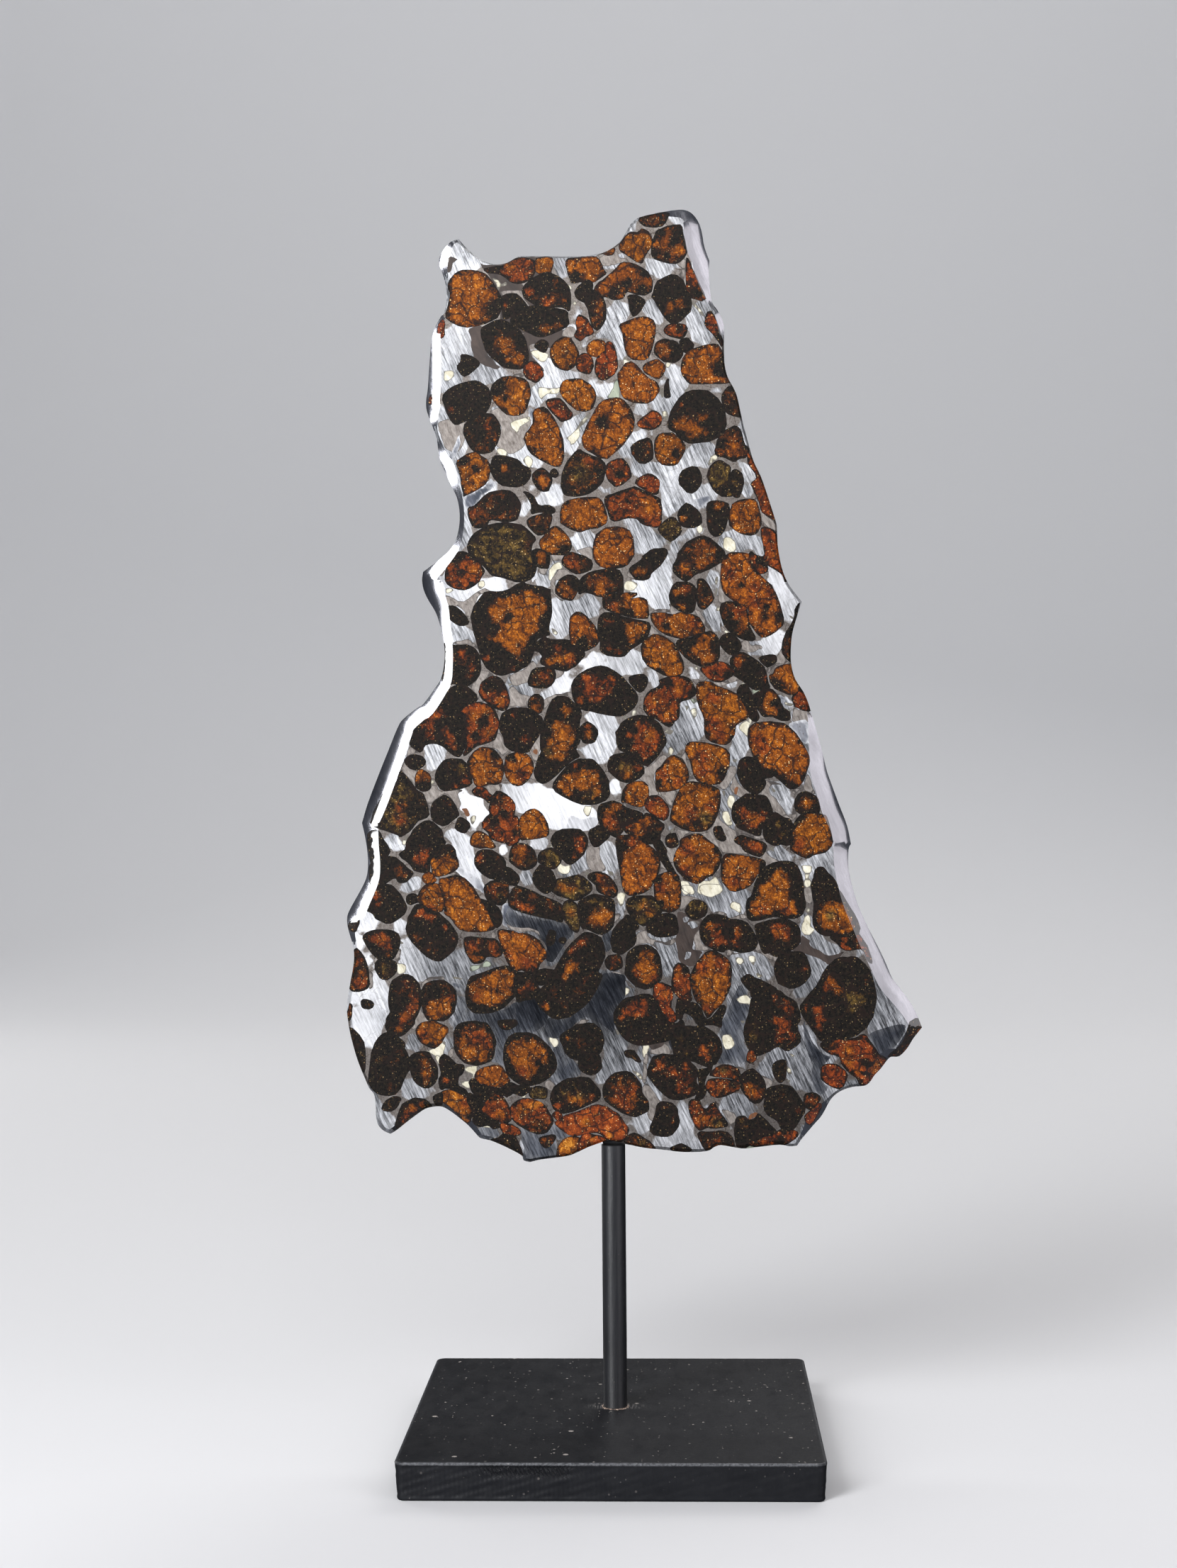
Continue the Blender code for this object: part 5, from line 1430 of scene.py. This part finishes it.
# Olivine: glassy, cracked and cloudy inside, amber where clear and nearly black where it is altered
CLEAR_STOPS = (0.0, 0.35, 0.7, 1.0)
AMBER = ((0.048, 0.015, 0.003), (0.135, 0.040, 0.004), (0.34, 0.108, 0.006), (0.62, 0.27, 0.026))
RUST = ((0.070, 0.014, 0.005), (0.16, 0.028, 0.006), (0.34, 0.066, 0.010), (0.60, 0.18, 0.035))
OLIVE_BROWN = ((0.040, 0.026, 0.008), (0.085, 0.055, 0.014), (0.17, 0.115, 0.028), (0.42, 0.31, 0.11))
ALTERED = [(0.40, (0.004, 0.0035, 0.003)), (0.57, (0.012, 0.009, 0.006)), (0.73, (0.052, 0.034, 0.015))]
CRACK_COLOUR = (0.014, 0.008, 0.006, 1.0)
CRYSTAL_EDGE_COLOUR = (0.010, 0.007, 0.006, 1.0)
# Painted glints: bright specks painted into the crystals' colour, stronger where a crystal is clear
PAINTED_GLINT_COLOUR = (0.86, 0.58, 0.26, 1.0)
PAINTED_GLINTS = ((2100, 0.25, 0.22), (1250, 0.23, 0.13))
COAT_IOR = 1.5
RIM_COAT_IOR = 1.9


def olivine_material(name, coat_ior):
    """Crystals coloured by the mesh's warmth, redness and olive fields, broken up by noise."""
    olivine = new_material(name)
    place = place_on(olivine)
    granular = noise_on(olivine, place, 2300, 6, 0.7, 0.2)
    warmth = combine(olivine, "ADD", field_on(olivine, "warmth"),
                     range_of(olivine, noise_on(olivine, place, 560, 9, 0.72, 0.6), 0.3, 0.7, -0.46, 0.34),
                     range_of(olivine, granular, 0.3, 0.7, -0.10, 0.10))
    edge_depth = combine(olivine, "DIVIDE", field_on(olivine, "edge_share"),
                         range_of(olivine, noise_on(olivine, place, 420, 4, 0.6), 0.35, 0.65, 0.25, 1.6))
    warmth = combine(olivine, "SUBTRACT", warmth, range_of(olivine, edge_depth, 0.0, 1.0, 0.46, 0.0))
    clear_share = add_node(olivine, "ShaderNodeMapRange", {0: warmth, 1: 0.26, 2: 0.60},
                           interpolation_type="SMOOTHSTEP").outputs[0]
    streaks = noise_on(olivine, place_on(olivine, (760, 760, 330), 20), 1.0, 8, 0.72, 0.9)
    glow = combine(olivine, "ADD", range_of(olivine, streaks, 0.3, 0.7, -0.34, 0.34),
                   range_of(olivine, granular, 0.3, 0.7, -0.28, 0.28),
                   range_of(olivine, warmth, 0.4, 1.1, 0.10, 0.76))
    amber, rust, olive_brown = (colour_ramp(olivine, glow, zip(CLEAR_STOPS, colours))
                                for colours in (AMBER, RUST, OLIVE_BROWN))
    colour = mix_colours(olivine, field_on(olivine, "redness"), amber, rust)
    colour = mix_colours(olivine, field_on(olivine, "olive"), colour, olive_brown)
    altered = colour_ramp(olivine, noise_on(olivine, place, 1300, 7, 0.72), ALTERED)
    colour = mix_colours(olivine, clear_share, altered, colour)
    crack_lines = range_of(olivine, bent_net(olivine, place, 500, 0.0022, 260), 0.014, 0.08, 1.0, 0.0)
    crack_where = range_of(olivine, noise_on(olivine, place, 210, 3), 0.37, 0.48)
    crack = combine(olivine, "MULTIPLY", crack_lines, crack_where, 0.9)
    colour = mix_colours(olivine, crack, colour, CRACK_COLOUR)
    # Painted glints, stronger where the crystal is clear
    glint_strength = range_of(olivine, clear_share, 0.0, 1.0, 0.22, 0.85)
    for scale, radius, kept_share in PAINTED_GLINTS:
        glint = combine(olivine, "MULTIPLY", specks_on(olivine, place, scale, radius, kept_share),
                        glint_strength)
        colour = mix_colours(olivine, glint, colour, PAINTED_GLINT_COLOUR)
    edge_line = range_of(olivine, field_on(olivine, "border"), 0.03, 0.15, 0.85, 0.0)
    colour = mix_colours(olivine, edge_line, colour, CRYSTAL_EDGE_COLOUR)
    finish_material(olivine, Base_Color=colour, Roughness=0.4, Specular_IOR_Level=0.1, Coat_Weight=1.0,
                    Coat_Roughness=0.03, Coat_IOR=coat_ior, Normal=bump_on(olivine, granular, 0.06, 0.0001))
    return olivine


olivine = olivine_material("olivine", COAT_IOR)
rim_olivine = olivine_material("rim_olivine", RIM_COAT_IOR)


# Nickel-iron: lapped, with fine straight scratches mostly up and down the slice. Where crystals crowd
# together it turns taupe-grey, with a few dark veins. The minerals in it share the scratches.
BRIGHT_DARK = (0.26, 0.265, 0.28)
BRIGHT_LIGHT = (0.64, 0.65, 0.68)
# The white that the painted highlight on the iron mixes towards
PAINTED_HIGHLIGHT_COLOUR = (0.95, 0.95, 0.97, 1.0)
GAP_GREYS = [(0.36, (0.060, 0.047, 0.040)), (0.46, (0.175, 0.152, 0.138)), (0.64, (0.295, 0.272, 0.250))]
THIN_GAP_GREY = (0.33, 0.307, 0.285, 1.0)
VEIN_COLOUR = (0.045, 0.028, 0.02, 1.0)
PATCH_EDGE_COLOUR = (0.035, 0.029, 0.027, 1.0)
FLECK_COLOUR = (0.09, 0.055, 0.035, 1.0)
SCRATCH_LEAN = 24
SECOND_SCRATCH_LEAN = -38


def iron_material(name, dark, light, roughness, metallic, scratch_strength, grain_scale, stain,
                  grey_gaps=False, coat=0.35, coat_ior=COAT_IOR, fade_mm=0.0, outline_mm=0.0):
    """Polished iron or an iron mineral: a cloudy colour with two families of straight scratches."""
    iron = new_material(name)
    place = place_on(iron)

    def stretched_noise(across, along, *settings, lean=SCRATCH_LEAN):
        """Noise drawn out along the scratches."""
        return noise_on(iron, place_on(iron, (across, across, along), lean), 1.0, *settings)

    cloud = stretched_noise(grain_scale, 0.45 * grain_scale, 6, 0.62, 0.4)
    colour = colour_ramp(iron, cloud, [(0.28, dark), (0.72, light)])
    if fade_mm:
        bright = colour_ramp(iron, cloud, [(0.28, BRIGHT_DARK), (0.72, BRIGHT_LIGHT)])
        depth_in = combine(iron, "ADD", field_on(iron, "border"),
                           range_of(iron, stretched_noise(420, 160, 4, 0.7), 0.3, 0.7, -fade_mm, fade_mm))
        colour = mix_colours(iron, range_of(iron, depth_in, 0.0, fade_mm), bright, colour)
    fine = stretched_noise(4600, 420, 6, 0.72)
    slanting = stretched_noise(4200, 200, 3, 0.6, lean=SECOND_SCRATCH_LEAN)
    broad = stretched_noise(2000, 140, 3, 0.6)
    scratches = combine(iron, "ADD", range_of(iron, fine, 0.35, 0.65, -0.5, 0.5),
                        range_of(iron, slanting, 0.5, 0.75, 0.0, -0.3),
                        range_of(iron, broad, 0.35, 0.65, -0.45, 0.45))
    # The scratches' shine is painted into the colour as lighter and darker streaks, beside their bump and
    # roughness
    shine = range_of(iron, scratches, -0.6, 0.6, 1 - scratch_strength, 1 + scratch_strength * 0.6)
    colour = scaled(iron, colour, shine)
    # Painted highlight and painted dark reflection: the painted sheen mixes the colour towards white or
    # scales it darker, and shifts the roughness with it
    if grey_gaps or fade_mm:
        painted_sheen_here = combine(iron, "ADD", field_on(iron, "painted_sheen"),
                             range_of(iron, cloud, 0.35, 0.65, -0.25, 0.25))
        colour = mix_colours(iron, range_of(iron, painted_sheen_here, 0.0, 1.0, 0.0, 0.8), colour, PAINTED_HIGHLIGHT_COLOUR)
        colour = scaled(iron, colour, range_of(iron, painted_sheen_here, -1.0, 0.0, 0.42, 1.0))
        roughness = range_of(iron, painted_sheen_here, -1.0, 1.0, roughness - 0.08, roughness + 0.14)
    if grey_gaps:
        gap = combine(iron, "MULTIPLY", field_on(iron, "gap_mm"),
                      range_of(iron, noise_on(iron, place, 110, 4, 0.6), 0.3, 0.7, 1.5, 0.6))
        grey_share = range_of(iron, gap, 1.9, 2.3, 1.0, 0.0)
        grey = colour_ramp(iron, noise_on(iron, place, 1900, 8, 0.85), GAP_GREYS)
        grey = mix_colours(iron, range_of(iron, gap, 0.35, 0.75, 0.75, 0.0), grey, THIN_GAP_GREY)
        colour = mix_colours(iron, grey_share, colour, grey)
        vein = combine(iron, "MULTIPLY",
                       range_of(iron, bent_net(iron, place, 420, 0.003, 300), 0.0, 0.045, 1.0, 0.0),
                       range_of(iron, noise_on(iron, place, 140, 3), 0.46, 0.58),
                       range_of(iron, grey_share, 0.0, 1.0, 0.25, 0.9))
        colour = mix_colours(iron, vein, colour, VEIN_COLOUR)
    if outline_mm:
        edge_line = range_of(iron, field_on(iron, "border"), 0.3 * outline_mm, outline_mm, 0.85, 0.0)
        colour = mix_colours(iron, edge_line, colour, PATCH_EDGE_COLOUR)
    fleck = combine(iron, "MULTIPLY", range_of(iron, noise_on(iron, place, 1500, 3, 0.6), 0.66, 0.72), stain)
    colour = mix_colours(iron, fleck, colour, FLECK_COLOUR)
    roughness = combine(iron, "MULTIPLY", range_of(iron, scratches, -0.6, 0.6, 0.8, 1.2), roughness)
    finish_material(iron, Base_Color=colour, Roughness=roughness, Metallic=metallic,
                    Normal=bump_on(iron, scratches, 0.25 * scratch_strength, 0.00003),
                    Coat_Weight=coat, Coat_IOR=coat_ior, Coat_Roughness=0.04)
    return iron


iron_kinds = {
    "w": iron_material("bright_iron", BRIGHT_DARK, BRIGHT_LIGHT, 0.44, 0.92, 0.74, 80, 0.35,
                       grey_gaps=True),
    "t": iron_material("taupe_iron", (0.11, 0.09, 0.078), (0.38, 0.345, 0.315), 0.55, 0.5, 0.16, 1500, 0.7,
                       outline_mm=0.18),
    "s": iron_material("slate_iron", (0.06, 0.07, 0.09), (0.18, 0.19, 0.23), 0.42, 0.7, 0.2, 160, 0.5,
                       fade_mm=0.5),
    "c": iron_material("cream_phosphate", (0.40, 0.36, 0.24), (0.80, 0.77, 0.64), 0.5, 0.15, 0.10, 700, 1.0,
                       outline_mm=0.22),
    "g": iron_material("green_grey_mineral", (0.22, 0.25, 0.19), (0.42, 0.46, 0.36), 0.5, 0.4, 0.08, 420, 0.6,
                       outline_mm=0.2),
    # m: iron with a dark blue-grey colour, a painted reflection of the dim surroundings
    "m": iron_material("painted_reflection_iron", (0.12, 0.13, 0.155), (0.36, 0.38, 0.43), 0.30, 1.0, 0.42, 60, 0.2,
                       fade_mm=1.6),
    "r": iron_material("rusty_iron", (0.10, 0.035, 0.012), (0.26, 0.10, 0.035), 0.55, 0.3, 0.1, 420, 0.8),
    "d": iron_material("dark_ground", (0.018, 0.012, 0.010), (0.06, 0.04, 0.032), 0.5, 0.2, 0.1, 420, 0.5),
    "rim": iron_material("rim_iron", (0.22, 0.22, 0.24), (0.42, 0.42, 0.45), 0.20, 1.0, 0.12, 120, 0.2,
                         coat=1.0, coat_ior=RIM_COAT_IOR)}
NARROW_RIM_PIXELS = 6.5
slice_mesh.materials.append(olivine)
slot_numbers = {}
for number, (letter, iron) in enumerate(iron_kinds.items()):
    slice_mesh.materials.append(iron)
    slot_numbers[letter] = number + 1
slot_of_region = np.zeros(len(loops), dtype=np.int32)
slot_of_region[:IRON_LOOPS] = slot_numbers["w"]
slot_of_region[IRON_LOOPS:FIRST_CRYSTAL] = [slot_numbers[letter] for letter in patch_letters]
slots = slot_of_region[all_regions]
face_width = width_here[all_faces[:, 0] % point_count]
on_rim = np.isin(flat_rim_wall, (RIM, WALL)) & (face_width > NARROW_RIM_PIXELS)
slots[on_rim & np.isin(slots, [slot_numbers[letter] for letter in "wtsm"])] = slot_numbers["rim"]
slots[on_rim & (slots == 0)] = len(slice_mesh.materials)
slice_mesh.materials.append(rim_olivine)
slice_mesh.polygons.foreach_set("material_index", slots)
slice_piece = new_piece("meteorite_slice_visual", slice_mesh)
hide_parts("meteorite_slice")


# The base plate: a flame-cut steel plate 9 mm thick under satin black paint, resting flat on its underside.
# Its sides keep the dimples and slanting ripples of the cut, its top edges are painted pale in places, partly
# as wear and partly as a painted highlight, strongest along the front, and its bore takes the rod.
PLATE_WIDTH = 0.100
PLATE_THICKNESS = 0.009
PLATE_CORNER_RADIUS = 0.0024
PLATE_WALL_LEAN = 0.0005
PLATE_FOOT_ROUND = 0.0006
PLATE_TOP_ROUND = 0.0004
BORE_RADIUS = 0.0033
BORE_BOTTOM = 0.003
FRONT_STEPS = 500
SIDE_STEPS = 130
CORNER_STEPS = 9
WALL_LEVELS = 24
DIMPLE_DEPTH = 0.00028
DIMPLE_FINENESS = 11000
SHALLOW_DIMPLE_SHARE = 0.35
SIDE_DEEP_SHARE = 0.3
DEEP_TO_X = 0.01
DEEP_FADE = 0.03
RIPPLE_DEPTH = 0.00040
RIPPLE_SPACING = 0.00092
RIPPLE_SLANT = 0.6
RIPPLE_FROM_X = -0.034
RIPPLE_TO_X = -0.005
RIPPLE_FADE = 0.006
RIPPLE_FROM_SHARE = 0.55
RIPPLE_RISE = 0.0015
CUT_FADE = 0.0006
TOP_RING_SHARES = (0.35, 0.7, 0.92, 1.0)
SIDE_EDGE_PALENESS = 0.45


def square_ring(reach, half_width, radius):
    """Points and outward directions round a square with round corners: each side with the arc after it."""
    points = []
    directions = []
    for quarter, steps in enumerate((FRONT_STEPS, SIDE_STEPS, SIDE_STEPS, SIDE_STEPS)):
        side = np.linspace(-reach, reach, steps, endpoint=False)
        arc = np.linspace(-math.pi / 2, 0, CORNER_STEPS, endpoint=False)
        facing = np.stack([np.concatenate([0 * side, np.cos(arc)]),
                           np.concatenate([0 * side - 1, np.sin(arc)])], axis=1)
        at = np.stack([np.concatenate([side, reach + radius * np.cos(arc)]),
                       np.concatenate([0 * side - half_width, radius * np.sin(arc) - reach])], axis=1)
        cos_turn, sin_turn = math.cos(quarter * math.pi / 2), math.sin(quarter * math.pi / 2)
        spin = np.array([[cos_turn, sin_turn], [-sin_turn, cos_turn]])
        points.append(at @ spin)
        directions.append(facing @ spin)
    return np.vstack(points), np.vstack(directions)


def loft(rings, closed=False):
    """Points and triangles of a skin over rings. Fans close its ends, or the last ring joins the first."""
    levels, count = rings.shape[:2]
    here = np.arange(count)
    after = np.roll(here, -1)
    base = (np.arange(levels if closed else levels - 1) * count)[:, None]
    next_base = (base + count) % (levels * count)
    faces = [np.stack([base + here, base + after, next_base + after], axis=-1).reshape(-1, 3),
             np.stack([base + here, next_base + after, next_base + here], axis=-1).reshape(-1, 3)]
    points = rings.reshape(-1, 3)
    if not closed:
        last = (levels - 1) * count
        middle = np.full(count, levels * count)
        faces.append(np.stack([after, here, middle], axis=1))
        faces.append(np.stack([last + here, last + after, middle + 1], axis=1))
        points = np.vstack([points, rings[0].mean(0), rings[-1].mean(0)])
    return points, np.concatenate(faces)


plate_reach = PLATE_WIDTH / 2 - PLATE_CORNER_RADIUS
plate_ring, plate_facing = square_ring(plate_reach, PLATE_WIDTH / 2, PLATE_CORNER_RADIUS)
bend = np.linspace(0, math.pi / 2, 6)
wall_share = np.linspace(0, 1, WALL_LEVELS + 2)[1:-1]
wall_height = PLATE_FOOT_ROUND + wall_share * (PLATE_THICKNESS - PLATE_TOP_ROUND - PLATE_FOOT_ROUND)
insets = np.concatenate([PLATE_WALL_LEAN + PLATE_FOOT_ROUND * (1 - np.sin(bend)),
                         PLATE_WALL_LEAN * (1 - wall_share),
                         PLATE_TOP_ROUND * (1 - np.cos(bend)), [2 * PLATE_TOP_ROUND]])
heights = np.concatenate([PLATE_FOOT_ROUND * (1 - np.cos(bend)), wall_height,
                          PLATE_THICKNESS - PLATE_TOP_ROUND * (1 - np.sin(bend)), [PLATE_THICKNESS]])

# Dimples all round, deeper at the front's left, and the ripples near the front's upper left edge
around = np.cumsum(np.linalg.norm(np.roll(plate_ring, 1, 0) - plate_ring, axis=1))
across_wall = np.stack(np.broadcast_arrays(around[None, :], heights[:, None]), axis=-1)
dimples = 0.5 + 0.5 * wobble(across_wall.reshape(-1, 2) * DIMPLE_FINENESS, 7).reshape(len(heights), -1)
on_front = plate_facing[:, 1] < -0.99
at_left = np.clip((DEEP_TO_X - plate_ring[:, 0]) / DEEP_FADE, 0, 1)
deep_share = np.where(on_front, at_left, SIDE_DEEP_SHARE)
dimple_share = SHALLOW_DIMPLE_SHARE + (1 - SHALLOW_DIMPLE_SHARE) * deep_share
slant = (plate_ring[None, :, 0] + RIPPLE_SLANT * heights[:, None]) / RIPPLE_SPACING
ripples = 0.5 + 0.5 * np.sin(2 * math.pi * slant + 2.5 * dimples)
ripple_where = np.clip((plate_ring[:, 0] - RIPPLE_FROM_X) / RIPPLE_FADE, 0, 1) * on_front
ripple_where *= np.clip((RIPPLE_TO_X - plate_ring[:, 0]) / RIPPLE_FADE, 0, 1)
ripple_height = np.clip((heights - RIPPLE_FROM_SHARE * PLATE_THICKNESS) / RIPPLE_RISE, 0, 1)
from_edge = np.minimum(heights - PLATE_FOOT_ROUND, PLATE_THICKNESS - PLATE_TOP_ROUND - heights)
fade = np.clip(from_edge / CUT_FADE, 0, 1)
cut_in = (DIMPLE_DEPTH * dimples * dimple_share[None]
          + RIPPLE_DEPTH * ripples * ripple_where[None] * ripple_height[:, None]) * fade[:, None]
plate_rings = np.zeros((len(heights), len(plate_ring), 3))
plate_rings[..., :2] = plate_ring[None] - plate_facing[None] * (insets[:, None] + cut_in)[..., None]
plate_rings[..., 2] = heights[:, None]
bore_ring = plate_ring / np.linalg.norm(plate_ring, axis=1, keepdims=True) * BORE_RADIUS
top_rings = []
for share in TOP_RING_SHARES:
    flat_ring = plate_rings[-1, :, :2] * (1 - share) + bore_ring * share
    top_rings.append(np.column_stack([flat_ring, np.full(len(flat_ring), PLATE_THICKNESS)]))
top_rings.append(np.column_stack([bore_ring, np.full(len(bore_ring), BORE_BOTTOM)]))
plate_points, plate_faces = loft(np.concatenate([plate_rings, np.array(top_rings)]))
plate_mesh = mesh_from("base_plate_visual", plate_points, plate_faces)
plate_mesh.set_sharp_from_angle(angle=math.radians(50))
# The top edges' pale line, partly wear and partly a painted highlight: full along the front edge and weaker
# along the sides
wear_and_painted_highlight = np.zeros(len(plate_points))
edge_level = np.isclose(heights, PLATE_THICKNESS, atol=PLATE_TOP_ROUND) & (insets < PLATE_TOP_ROUND)
wear_and_painted_highlight[:plate_rings[..., 0].size] = (edge_level[:, None] * np.where(on_front, 1.0, SIDE_EDGE_PALENESS)).ravel()
carry(plate_mesh, "wear_and_painted_highlight", "POINT", wear_and_painted_highlight)


PAINT_COLOURS = [(0.3, (0.0070, 0.0074, 0.0092)), (0.7, (0.0120, 0.0126, 0.0150))]
DUST_COLOUR = (0.40, 0.36, 0.33, 1.0)
DUST = ((117, 0.09, 0.55), (305, 0.11, 0.4), (800, 0.16, 0.2))
WORN_AND_HIGHLIGHT_COLOUR = (0.20, 0.205, 0.22, 1.0)
SCUFF_COLOUR = (0.17, 0.16, 0.155, 1.0)


def black_paint(name, peel_scale, brush_scale, roughness):
    """Satin black paint with orange peel, faint brush lines and dust specks, and its colour."""
    paint = new_material(name)
    place = place_on(paint)
    peel = noise_on(paint, place, peel_scale, 3, 0.5)
    brushed = noise_on(paint, place_on(paint, brush_scale), 1.0, 4, 0.6)
    colour = colour_ramp(paint, noise_on(paint, place, 60, 4, 0.6), PAINT_COLOURS)
    facing = add_node(paint, "ShaderNodeNewGeometry", {}).outputs["Normal"]
    dust_strength = range_of(paint, add_node(paint, "ShaderNodeSeparateXYZ", {0: facing}).outputs["Z"],
                             0.0, 0.8, 0.12, 0.85)
    for scale, radius, kept_share in DUST:
        dust = combine(paint, "MULTIPLY", specks_on(paint, place, scale, radius, kept_share), dust_strength)
        colour = mix_colours(paint, dust, colour, DUST_COLOUR)
    relief = combine(paint, "ADD", peel, combine(paint, "MULTIPLY", brushed, 0.8))
    finish_material(paint, Base_Color=colour, Normal=bump_on(paint, relief, 0.34, 0.0001),
                    Roughness=range_of(paint, brushed, 0.3, 0.7, roughness - 0.07, roughness + 0.09))
    return paint, colour


plate_paint, plate_colour = black_paint("black_plate_paint_visual", 900, (300, 120, 300), 0.46)
# The pale top edges: partly wear and partly a painted highlight, broken up by noise
wear_noise = noise_on(plate_paint, place_on(plate_paint), 1500, 5, 0.7)
worn_and_highlit = combine(plate_paint, "MULTIPLY", field_on(plate_paint, "wear_and_painted_highlight"),
               range_of(plate_paint, wear_noise, 0.40, 0.60, 0.15, 0.6))
plate_colour = mix_colours(plate_paint, worn_and_highlit, plate_colour, WORN_AND_HIGHLIGHT_COLOUR)
# Short brush scratches beside the rod, all running from front to back
from_rod = add_node(plate_paint, "ShaderNodeVectorMath", {0: place_on(plate_paint, (1, 2.4, 0))},
                    operation="LENGTH").outputs["Value"]
scuffs = noise_on(plate_paint, place_on(plate_paint, (2600, 170, 0)), 1.0, 3, 0.7)
scuffed = combine(plate_paint, "MULTIPLY", range_of(plate_paint, scuffs, 0.50, 0.58),
                  range_of(plate_paint, from_rod, 0.0038, 0.0085, 0.8, 0.0))
plate_colour = mix_colours(plate_paint, scuffed, plate_colour, SCUFF_COLOUR)
finish_material(plate_paint, Base_Color=plate_colour, IOR=1.36)
plate_mesh.materials.append(plate_paint)
plate_piece = new_piece("base_plate_visual", plate_mesh)
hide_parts("base_plate")


# The rod: 6 mm round steel bar under satin black paint, pressed into the plate's bore. Above its
# shoulder it is milled to a half-round tongue, which stands behind the slice and carries it.
POST_RADIUS = 0.003
POST_BOTTOM = 0.0033
POST_SHOULDER = 0.0748
POST_TOP = 0.1098
TONGUE_FRONT_Y = SLICE_FRONT_Y + SLICE_THICKNESS + 0.0003
PAINT_UNEVENNESS = 0.000012
POST_SIDES = 80
POST_BEVEL = 0.0003
POST_LEVELS = 160
TONGUE_LEVELS = 60
SHOULDER_STEP = 0.00002
bar_heights = np.linspace(POST_BOTTOM + POST_BEVEL, POST_SHOULDER, POST_LEVELS)
tongue_heights = np.linspace(POST_SHOULDER + SHOULDER_STEP, POST_TOP - POST_BEVEL, TONGUE_LEVELS)
post_heights = np.concatenate([[POST_BOTTOM], bar_heights, tongue_heights, [POST_TOP]])
post_turn = np.arange(POST_SIDES) * 2 * math.pi / POST_SIDES
post_places = np.stack(np.broadcast_arrays(post_turn[None] * 3 * 9, post_heights[:, None] * 3000), axis=-1)
unevenness = 0.5 + 0.5 * wobble(post_places.reshape(-1, 2), 8).reshape(len(post_heights), -1)
post_radii = POST_RADIUS - PAINT_UNEVENNESS * unevenness
post_radii[[0, -1]] -= POST_BEVEL
post_rings = np.zeros((len(post_heights), POST_SIDES, 3))
post_rings[..., 0] = post_radii * np.cos(post_turn)
post_rings[..., 1] = post_radii * np.sin(post_turn)
post_rings[..., 2] = post_heights[:, None]
# Above the shoulder, the points in front of the tongue's flat face are spread evenly across it
face_end = math.asin(TONGUE_FRONT_Y / POST_RADIUS)
face_share = (face_end - post_turn) % (2 * math.pi) / (math.pi + 2 * face_end)
on_face = np.nonzero(face_share < 1)[0]
tongue = np.nonzero(post_heights > POST_SHOULDER)[0][:, None]
half_face = np.sqrt(post_radii[tongue[:, 0]].min(1) ** 2 - TONGUE_FRONT_Y ** 2)[:, None]
post_rings[tongue, on_face, 0] = half_face * (1 - 2 * face_share[on_face])
post_rings[tongue, on_face, 1] = TONGUE_FRONT_Y
post_mesh = mesh_from("post_visual", *loft(post_rings))
post_mesh.set_sharp_from_angle(angle=math.radians(40))
post_paint, post_colour = black_paint("black_post_paint_visual", 1300, (2600, 2600, 90), 0.38)
finish_material(post_paint, Specular_IOR_Level=1.0)
post_mesh.materials.append(post_paint)
post_piece = new_piece("post_visual", post_mesh)
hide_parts("post")


# The residue at the rod's foot: a low, uneven collar of chipped paint and glue on the plate, tan where
# the black has flaked off
RESIDUE_WIDTH = 0.0005
RESIDUE_HEIGHT = 0.00022
RESIDUE_SINK = 0.00003
RESIDUE_GAP = 0.0001
RESIDUE_LEAST_WIDTH = 0.3
RESIDUE_LEAST_HEIGHT = 0.35
RESIDUE_WAVES = 40
RESIDUE_STEPS = 150
RESIDUE_PROFILE = ((0, -1), (1, -1), (1, 0), (0.85, 0.45), (0.55, 0.8), (0.25, 1.0), (0, 0.9))
residue_turn = np.arange(RESIDUE_STEPS) * 2 * math.pi / RESIDUE_STEPS
residue_path = np.stack([np.cos(residue_turn), np.sin(residue_turn)], axis=1) * RESIDUE_WAVES
residue_stray = 0.5 + 0.5 * wobble(residue_path, 9)
residue_chips = 0.5 + 0.5 * wobble(residue_path * 3, 10)
residue_out = POST_RADIUS + RESIDUE_GAP + RESIDUE_WIDTH * (RESIDUE_LEAST_WIDTH + residue_stray)
residue_rise = RESIDUE_HEIGHT * (RESIDUE_LEAST_HEIGHT + (1 - RESIDUE_LEAST_HEIGHT) * residue_chips)
residue_rings = []
for out_share, rise_share in RESIDUE_PROFILE:
    ring_radius = POST_RADIUS + (residue_out - POST_RADIUS) * out_share
    ring_height = residue_rise * max(rise_share, 0) - RESIDUE_SINK * (rise_share < 0)
    residue_rings.append(np.stack([ring_radius * np.cos(residue_turn), ring_radius * np.sin(residue_turn),
                                   PLATE_THICKNESS + ring_height], axis=1))
residue_mesh = mesh_from("rod_foot_residue", *loft(np.array(residue_rings), True))
residue = new_material("chipped_paint_residue")
chips = noise_on(residue, place_on(residue), 1600, 5, 0.7)
residue_colour = colour_ramp(residue, chips, [(0.40, (0.012, 0.011, 0.012)), (0.48, (0.16, 0.11, 0.085)),
                                              (0.62, (0.52, 0.40, 0.32))])
finish_material(residue, Base_Color=residue_colour, Roughness=0.7,
                Normal=bump_on(residue, chips, 0.5, 0.0001))
residue_mesh.materials.append(residue)
new_piece("rod_foot_residue", residue_mesh)
